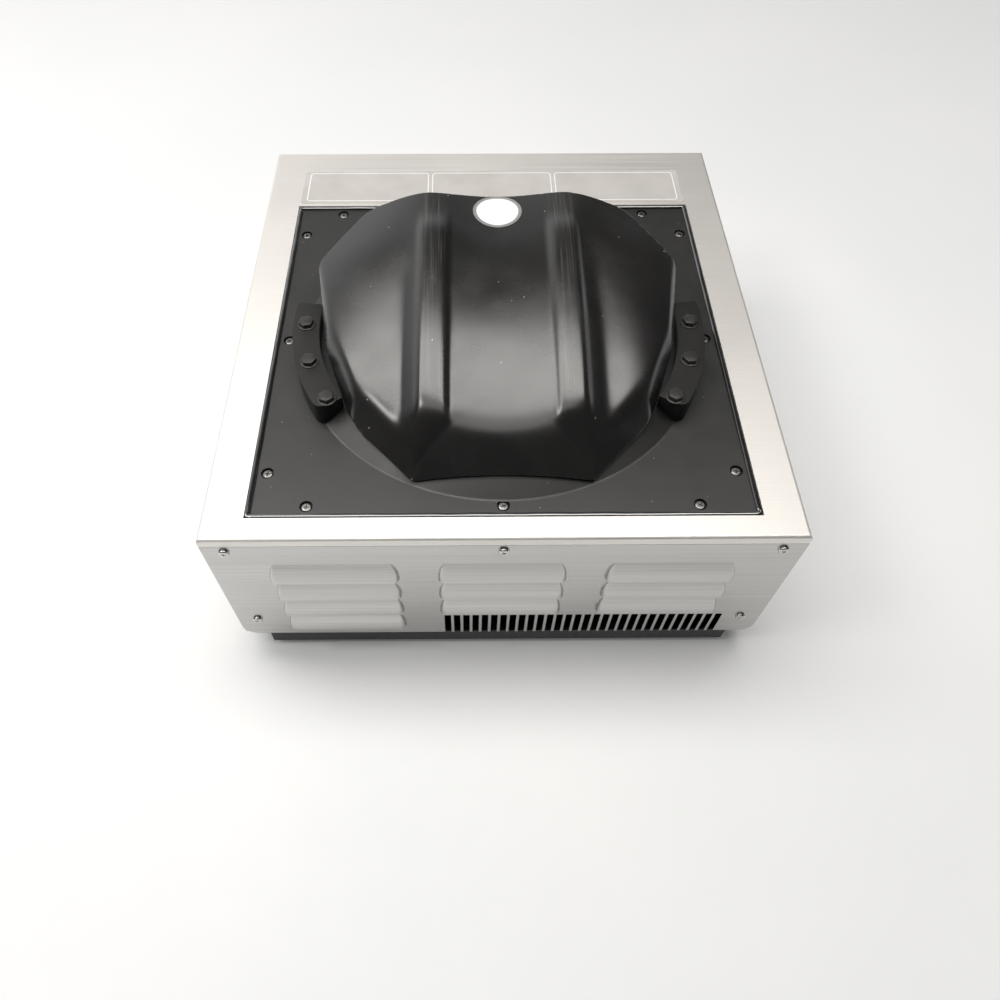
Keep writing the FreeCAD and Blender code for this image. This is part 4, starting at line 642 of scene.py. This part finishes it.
satin_black = new_finish("satin_black_coat", Specular_IOR_Level=0.7)
coat = tint(satin_black, span(satin_black, grain(satin_black, 14, detail=6.0), 0, 1),
            (0.007, 0.0067, 0.0066), (0.012, 0.0115, 0.0112))
dust = specks(satin_black, 160, 0.07, 0.8)
feed(satin_black, "Base Color", tint(satin_black, dust, coat, (0.2, 0.19, 0.18)))
feed(satin_black, "Roughness", span(satin_black, grain(satin_black, 40, detail=6.0), 0.4, 0.5))
relief(satin_black, grain(satin_black, 1400), 0.00003)
dress(satin_black, "deck_plate")

# Deck seal
# A bead of glossy black sealant run by hand into the gap round the deck plate. It stands a little proud of
# the steel and is uneven in height.
seal_half = 169.6 * MM
seal_rear = -197.8 * MM
seal_front = 126.4 * MM
seal_height = 165.1 * MM
seal_flatness = 0.65
bpy.ops.mesh.primitive_plane_add(size=1, location=(0, (seal_rear + seal_front) / 2, seal_height))
bead = bpy.context.object
bead.scale = (2 * seal_half, seal_front - seal_rear, 1)
settle(bead, "sealant_bead")
edit(bead)
pick_all()
bpy.ops.mesh.delete(type="ONLY_FACE")
pick_all()
bpy.ops.mesh.subdivide(number_cuts=140)
leave()
bpy.ops.object.convert(target="CURVE")
bead = bpy.context.object
bead.data.bevel_depth = 1.95 * MM
bead.data.bevel_resolution = 3
bpy.ops.object.convert(target="MESH")
bead = bpy.context.object
bead_middle = Matrix.Translation((0, 0, seal_height))
bead.data.transform(bead_middle @ Matrix.Diagonal((1, 1, seal_flatness, 1)) @ bead_middle.inverted())
hand_run = bpy.data.textures.new("hand_run", "CLOUDS")
hand_run.noise_scale = 0.02
finish_with(bead, "DISPLACE", texture=hand_run, strength=0.9 * MM, mid_level=0.5, texture_coords="LOCAL")
smooth(bead, 60)
sealant = mottled("glossy_sealant", (0.006, 0.006, 0.006), (0.012, 0.012, 0.012), 60, 0.08, 0.2, 180, 0.0001,
                  Specular_IOR_Level=1.0, Coat_Weight=1.0, Coat_Roughness=0.06, Coat_IOR=2.0)
fit(bead, sealant, "case", "seal_black", "deck_seal")

# Deck screws
# Twelve pan-head screws of dull steel, sunk in counterbores round the deck plate's edge.
screw_seat = 161.7
deck_spots = [(x, y) for y in (-189.7, 118.3) for x in (-131.5, 0, 131.5)]
deck_spots += [(x, y) for x in (-160.8, 160.8) for y in (-162.2, -35.7, 90.8)]
deck_screws = set_out(panel_screw(), "sunk_screws", [
    turned(x, y, screw_seat, "Z", 0, 29 * n) for n, (x, y) in enumerate(deck_spots)])
dark_steel = mottled("dark_steel", (0.16, 0.157, 0.15), (0.3, 0.295, 0.285), 500, 0.26, 0.46, 1200,
                     Metallic=1.0)
fit(deck_screws, dark_steel, "case", "black_steel", "deck_screws")

# Clamp bars
# Two black arc bars over the collar's foot, cut from plate with broken edges and held by three hexagon
# bolts each.
deck_top = 164.5 * MM
collar_middle = -35.7
collar_y = collar_middle * MM
bar_inner = 134.3 * MM
bar_outer = 154 * MM
bar_height = 19 * MM
bar_sweep = 42
bar_corner = 8 * MM
foot_wide = 151.8 * MM
foot_narrow = 135.8 * MM
foot_depth = 8.8 * MM


def clamp_bar(name, start, near, inward):
    """An arc bar swept from a start angle, with the outer corner of its near end rounded."""
    middle = (bar_inner + bar_outer) / 2
    angle = math.radians(start)
    bpy.ops.mesh.primitive_plane_add(size=1, rotation=(math.radians(90), 0, angle), location=(
        middle * math.cos(angle), collar_y + middle * math.sin(angle), deck_top + bar_height / 2))
    bar = bpy.context.object
    bar.scale = (bar_outer - bar_inner, bar_height, 1)
    settle(bar, name)
    edit(bar)
    pick_all()
    bpy.ops.mesh.spin(steps=30, angle=-math.radians(bar_sweep), center=(0, collar_y, 0), axis=(0, 0, 1))
    pick_all()
    bpy.ops.mesh.remove_doubles(threshold=1e-6)
    bpy.ops.mesh.normals_make_consistent(inside=False)
    leave()
    turn = drum("end_turn", bar_corner, deck_top - 6 * MM, deck_top + 26 * MM)
    turn.data.transform(Matrix.Translation((bar_outer - bar_corner, inward * bar_corner, 0)))
    past = sorted((-5 * MM * inward, bar_corner * inward))
    corner = brick("end_corner", (bar_outer - bar_corner, past[0], deck_top - 5 * MM),
                   (bar_outer + 5 * MM, past[1], deck_top + 25 * MM))
    carve(corner, turn)
    corner.data.transform(Matrix.Translation((0, collar_y, 0)) @ Matrix.Rotation(math.radians(near), 4, "Z"))
    carve(bar, corner)
    bpy.ops.mesh.primitive_cone_add(vertices=192, radius1=foot_wide, radius2=foot_narrow, depth=foot_depth,
                                    location=(0, collar_y, deck_top + 4.3 * MM))
    carve(bar, settle(bpy.context.object, "collar_foot"))
    finish_with(bar, "BEVEL", width=1.3 * MM, segments=3, limit_method="ANGLE", angle_limit=math.radians(50))
    return smooth(bar, 40)


bar_right = clamp_bar("bar_right", -34, -34, 1)
bar_left = clamp_bar("bar_left", 172, 214, -1)
bar_coat = mottled("bar_black_coat", (0.007, 0.0067, 0.0067), (0.013, 0.0124, 0.012), 35,
                   0.45, 0.6, 1100, 0.00005, Specular_IOR_Level=0.35)
fit(bar_right, bar_coat, "case", "deck_black", "clamp_bar_right")
fit(bar_left, bar_coat, "case", "deck_black", "clamp_bar_left")

# Clamp bolts
# Black hexagon bolts with chamfered heads on thin washers. Their shanks are hidden in the bar and the deck,
# and only the heads are drawn.
bolt_circle = 144
bolt_seat = 183.5
bolt_angles = [math.radians(-1 - 15.5 * step) for step in range(3)]
bolt_head = drum("bolt_head", 5.77 * MM, 0.6 * MM, 4 * MM, 6)
edit(bolt_head)
soften(bolt_head, lambda middle, way: middle.z > 3.9 * MM, 0.9 * MM, 3)
leave()
washer = drum("washer", 6.8 * MM, 0, 0.8 * MM)
edit(washer)
soften(washer, lambda middle, way: middle.z > 0.7 * MM and middle.xy.length > 6.6 * MM, 0.3 * MM, 2)
leave()
bolt = smooth(merge("clamp_bolt", [bolt_head, washer]), 30)
bolts = set_out(bolt, "hexagon_bolts", [
    turned(side * bolt_circle * math.cos(angle), collar_middle + bolt_circle * math.sin(angle), bolt_seat,
           "Z", 0, 17 * side * step)
    for side in (-1, 1) for step, angle in enumerate(bolt_angles, start=1)])
bolt_black = mottled("black_oxide", (0.012, 0.012, 0.012), (0.028, 0.027, 0.026), 200,
                     0.34, 0.5, 900, 0.00004)
fit(bolts, bolt_black, "case", "black_steel", "clamp_bolts")

# Hood
# One thermoformed shell of satin black plastic that rises from the collar towards the operator. Two
# flat-topped ribs run along its roof, a sloping wall closes its rear, and its cut edge is left plain. Its
# sizes are millimetres from the collar's middle: a corner is x, y and the radius that rounds it.
hood_corners = [(62, -136.8, 8), (104, -93.8, 60), (126.5, -33, 90), (136.4, 41, 14), (99, 86.5, 26)]
hood_front = 91.5
hood_wall = 2.4
wall_slopes = (0.93, 1.1, 1.9, 2.4)
wall_blend = 5
roof_height = 61.5
roof_drop = 30
roof_crest = 51
roof_run = 163
brim_start = 40
brim_width = 22
swell_middle = 57
swell_width = 34
brim_swell = 7
rear_swell = 0.7
lobe_start = 50
lobe_run = 82
brim_fall = 19
rear_fall = 17
ledge_start = 64
ledge_drop = 10
ledge_width = 3.2
ledge_end = 12
rib_middle = 48
rib_half = 11
rib_rear = -115
rib_front = 56
rib_height = 3.5
rib_fade = 5.5
collar_reach = 150.97
collar_height = 8
collar_run = 14.6
rim_low = 8
rim_start = -93.8
rim_rise = 28.5
rim_run = 134.8
rim_above = 2.8
softness = 2


def step_up(distance, width):
    """Goes smoothly from 0 to 1 over about four widths."""
    return 1 / (1 + math.exp(-max(-40, min(40, distance / width))))


def hood_height(x, y):
    """Height of the hood's outer skin over the deck: the lower of its roof and its walls."""
    across = abs(x)
    brim = step_up(y - brim_start, brim_width)
    from_swell = (across - swell_middle) / swell_width
    outward = max(0, (across - lobe_start) / lobe_run)
    roof = roof_height - roof_drop * max(0, (roof_crest - y) / roof_run) ** 2
    roof += brim * brim_swell * math.exp(-from_swell ** 2)
    roof += (1 - brim) * rear_swell * math.exp(-min(0, from_swell) ** 2)
    roof -= brim * brim_fall * outward ** 1.5 + (1 - brim) * rear_fall * outward ** 3
    roof -= ledge_drop * step_up(across - ledge_start, ledge_width) * step_up(ledge_end - y, brim_width)
    past_end = y - max(y, rib_rear + rib_half)
    rib = math.exp(-(math.hypot(across - rib_middle, past_end) / rib_half) ** 6)
    roof += rib_height * rib * step_up(rib_front - y, rib_fade)
    rises = 0
    nearest = 1e9
    start_x, start_y = -hood_corners[0][0], hood_corners[0][1]
    for slope, (end_x, end_y, _) in zip(wall_slopes, hood_corners):
        run = math.hypot(end_x - start_x, end_y - start_y)
        inset = ((end_x - start_x) * (y - start_y) - (end_y - start_y) * (across - start_x)) / run
        rises += max(slope * inset, 0.01) ** -wall_blend
        nearest = min(nearest, max(0, inset))
        start_x, start_y = end_x, end_y
    on_collar = (collar_reach - math.hypot(x, y) - nearest) * collar_height / collar_run
    collar = min(max(0, on_collar), collar_height)
    rim = max(collar, rim_low + rim_rise * (y - rim_start) / rim_run) + rim_above
    wall = rim + rises ** (-1 / wall_blend)
    lower = min(roof, wall)
    overlap = math.exp((lower - roof) / softness) + math.exp((lower - wall) / softness)
    return lower - softness * math.log(overlap)


def trim_planes():
    """The lines that bound the hood's plan, as a point and an outward normal each, corners rounded."""
    right = [Vector(corner[:2]) for corner in hood_corners]
    outline = right + [Vector((0, hood_front))] + [Vector((-spot.x, spot.y)) for spot in reversed(right)]
    rounds = [corner[2] for corner in hood_corners]
    rounds = rounds + [0] + rounds[::-1]
    planes = []
    for number, spot in enumerate(outline):
        came = (spot - outline[number - 1]).normalized()
        goes = (outline[(number + 1) % len(outline)] - spot).normalized()
        first = Vector((came.y, -came.x))
        last = Vector((goes.y, -goes.x))
        turn = first.angle(last)
        middle = spot - (first + last).normalized() * rounds[number] / math.cos(turn / 2)
        for part in range(1, 9):
            way = first.slerp(last, part / 8) if turn > 0.01 else last
            planes.append((middle + way * rounds[number], way))
    return planes


def lay_on_hood(sheet, above):
    """Lift a flat sheet to the hood's skin and bring it to its place on the deck."""
    for corner in sheet.data.vertices:
        corner.co.z = hood_height(corner.co.x, corner.co.y) + above
    sheet.data.transform(Matrix.Translation((0, collar_y, deck_top)) @ Matrix.Scale(MM, 4))


bpy.ops.mesh.primitive_grid_add(x_subdivisions=224, y_subdivisions=186, size=1)
hood = bpy.context.object
hood.scale = (282, 234, 1)
hood.location = (0, -22.5, 0)
settle(hood, "ribbed_hood")
edit(hood)
for spot, way in trim_planes():
    pick_all()
    bpy.ops.mesh.bisect(plane_co=(*spot, 0), plane_no=(*way, 0), clear_outer=True, threshold=0.0001)
pick_all()
bpy.ops.mesh.remove_doubles(threshold=0.4)
leave()
lay_on_hood(hood, 0)
finish_with(hood, "SOLIDIFY", thickness=hood_wall * MM, offset=-1, use_even_offset=True)
finish_with(hood, "BEVEL", width=0.5 * MM, segments=2, limit_method="ANGLE", angle_limit=math.radians(60),
            use_clamp_overlap=False)
smooth(hood, 50)

hood_black = new_finish("satin_hood_black", Specular_IOR_Level=0.85)
place = apart(hood_black, own_place(hood_black))
from_crest = compute(hood_black, "SUBTRACT", compute(hood_black, "ABSOLUTE", place["X"]), rib_middle * MM)
on_rib = span(hood_black, compute(hood_black, "ABSOLUTE", from_crest), 1, 0, 6 * MM, rib_half * MM)
on_roof = span(hood_black, place["Y"], 0, 1, -140 * MM, -122 * MM)
streaks = span(hood_black, grain(hood_black, 1, (700, 16, 30), detail=8.0), 0, 1, 0.48, 0.8)
rubbed = compute(hood_black, "MULTIPLY", compute(hood_black, "MULTIPLY", on_rib, on_roof), streaks)
skin = tint(hood_black, span(hood_black, grain(hood_black, 12, detail=6.0), 0, 1),
            (0.008, 0.0077, 0.0077), (0.014, 0.0133, 0.013))
scuffed = tint(hood_black, span(hood_black, rubbed, 0, 0.35, 0, 1), skin, (0.16, 0.155, 0.145))
dust = specks(hood_black, 110, 0.055, 0.78)
feed(hood_black, "Base Color", tint(hood_black, dust, scuffed, (0.32, 0.31, 0.3)))
feed(hood_black, "Roughness", span(hood_black, grain(hood_black, 30, detail=7.0), 0.21, 0.3))
relief(hood_black, grain(hood_black, 1200), 0.000025)
fit(hood, hood_black, "case", "hood_black", "hood")

# Round sticker
# A bare white film disc with a grey ring, stuck on the roof near the hood's front rim.
sticker_y = 72.2
sticker_radius = 18.5


def distance(finish, source):
    """How far a pattern's coordinates lie from their origin."""
    node = add_node(finish, "VectorMath", operation="LENGTH")
    link(finish, source, node.inputs[0])
    return node.outputs["Value"]


bpy.ops.mesh.primitive_circle_add(vertices=96, radius=sticker_radius, fill_type="NGON",
                                  location=(0, sticker_y, 0))
sticker = settle(bpy.context.object, "round_sticker")
edit(sticker)
pick_all()
for _ in range(6):
    bpy.ops.mesh.inset(thickness=2.6)
leave()
lay_on_hood(sticker, 0.25)
finish_with(sticker, "SOLIDIFY", thickness=0.2 * MM, offset=-1)
smooth(sticker, 50)
film = new_finish("ringed_film")
centred = add_node(film, "Mapping", Location=(0, -(sticker_y * MM + collar_y), 0), Scale=(1, 1, 0))
link(film, own_place(film), centred.inputs["Vector"])
ring = span(film, distance(film, centred.outputs["Vector"]), 0, 1,
            (sticker_radius - 2.7) * MM, (sticker_radius - 2.5) * MM)
soiled = span(film, grain(film, 150, detail=6.0), 0, 1, 0.5, 0.75)
paper = tint(film, soiled, (0.82, 0.82, 0.81), (0.77, 0.765, 0.75))
feed(film, "Base Color", tint(film, ring, paper, (0.24, 0.24, 0.24)))
feed(film, "Roughness", span(film, grain(film, 300), 0.3, 0.45))
fit(sticker, film, "case", "hood_black")

# Label strip
# A printed grey film on the top's far border with three white outlines, left bare inside.
label_y = 155.5 * MM
cover_top = 166 * MM
film_thickness = 0.2 * MM
outline_pitch = 111.5 * MM
strip = rounded_sheet("label_strip", 0, label_y, cover_top, 341 * MM, 47 * MM, 2 * MM)
push(0, 0, film_thickness)
done(40)
grey_film = mottled("grey_label_film", (0.45, 0.434, 0.416), (0.51, 0.492, 0.472), 40,
                    0.32, 0.46, 300, 0.00002)
fit(strip, grey_film, "case", "stainless")
outlines = []
for column in (-1, 0, 1):
    rounded_sheet(f"keyline_{column}", column * outline_pitch, label_y, cover_top + film_thickness,
                  108.5 * MM, 41 * MM, 3.5 * MM)
    bpy.ops.mesh.inset(thickness=0.9 * MM)
    bpy.ops.mesh.delete(type="FACE")
    pick_all()
    push(0, 0, 0.06 * MM)
    outlines.append(done(40))
fit(merge("label_outlines", outlines), white_ink, "case", "stainless")

# Floor, light and camera
# A plain pale floor, a long soft light overhead that reaches to the left, two weaker ones behind the camera
# and at the left, and a low glow from the operator's side. The camera looks down on the rear of the case.
bpy.ops.mesh.primitive_plane_add(size=12)
floor = settle(bpy.context.object, "floor")
pale_floor = mottled("pale_floor", (0.76, 0.77, 0.78), (0.8, 0.805, 0.81), 3, 0.6, 0.7, 40,
                     Emission_Color=(1, 1, 1, 1))
rays = add_node(pale_floor, "LightPath").outputs
direct = compute(pale_floor, "MAXIMUM", rays["Is Camera Ray"], rays["Is Glossy Ray"])
lifted = compute(pale_floor, "MAXIMUM", direct, rays["Is Transmission Ray"])
paler = span(pale_floor, distance(pale_floor, own_place(pale_floor)), 0.1, 0.8, 0.5, 3.5)
feed(pale_floor, "Emission Strength", compute(pale_floor, "MULTIPLY", paler, lifted))
floor.data.materials.append(pale_floor)


def soft_light(name, spot, aim, width, depth, power, turn=0):
    lamp = bpy.data.lights.new(name, "AREA")
    lamp.shape = "RECTANGLE"
    lamp.size = width
    lamp.size_y = depth
    lamp.energy = power
    lamp.color = (1, 0.98, 0.945)
    holder = bpy.data.objects.new(name, lamp)
    holder.location = spot
    holder.rotation_euler = (Vector(aim) - Vector(spot)).to_track_quat("-Z", "Y").to_euler()
    holder.rotation_euler.rotate_axis("Z", math.radians(turn))
    bpy.context.collection.objects.link(holder)


soft_light("overhead", (-0.4, 0.21, 1.55), (-0.4, 0.21, 0), 2.5, 0.64, 28, -8)
soft_light("rear_overhead", (-0.3, -0.5, 1.55), (-0.3, -0.5, 0), 1.6, 0.5, 4.5)
soft_light("left_overhead", (-1.05, -0.4, 1.5), (-0.3, -0.2, 0), 0.5, 0.4, 6)

world = bpy.data.worlds.new("studio")
world.use_nodes = True
outlook = add_node(world, "TexCoord").outputs["Generated"]
toward = add_node(world, "VectorMath", operation="DOT_PRODUCT")
toward.inputs[1].default_value = (-0.48, 0.86, -0.19)
link(world, outlook, toward.inputs[0])
glow = span(world, toward.outputs["Value"], 0.04, 1, 0.4, 0.85)
horizon = span(world, apart(world, outlook)["Z"], 1, 0, 0.02, 0.1)
rays = add_node(world, "LightPath").outputs
mirrored = compute(world, "MAXIMUM", rays["Is Glossy Ray"], rays["Is Transmission Ray"])
low_mirrored = compute(world, "MULTIPLY", mirrored, horizon)
strength = add_node(world, "Mix", data_type="FLOAT")
strength.inputs[3].default_value = 1
link(world, compute(world, "MAXIMUM", low_mirrored, rays["Is Camera Ray"]), strength.inputs[0])
link(world, glow, strength.inputs[2])
sky = world.node_tree.nodes["Background"]
sky.inputs["Color"].default_value = (1, 1, 1, 1)
link(world, strength.outputs[0], sky.inputs["Strength"])
bpy.context.scene.world = world

camera = bpy.data.cameras.new("camera")
camera.sensor_width = 36
camera.lens = 28.53
camera.shift_x = 0.0303
eye = bpy.data.objects.new("camera", camera)
eye.location = (-0.0245, -0.48, 0.6055)
eye.rotation_euler = (math.radians(33.76), 0, math.radians(-0.394))
bpy.context.collection.objects.link(eye)
bpy.context.scene.camera = eye
bpy.context.scene.view_settings.view_transform = "Standard"
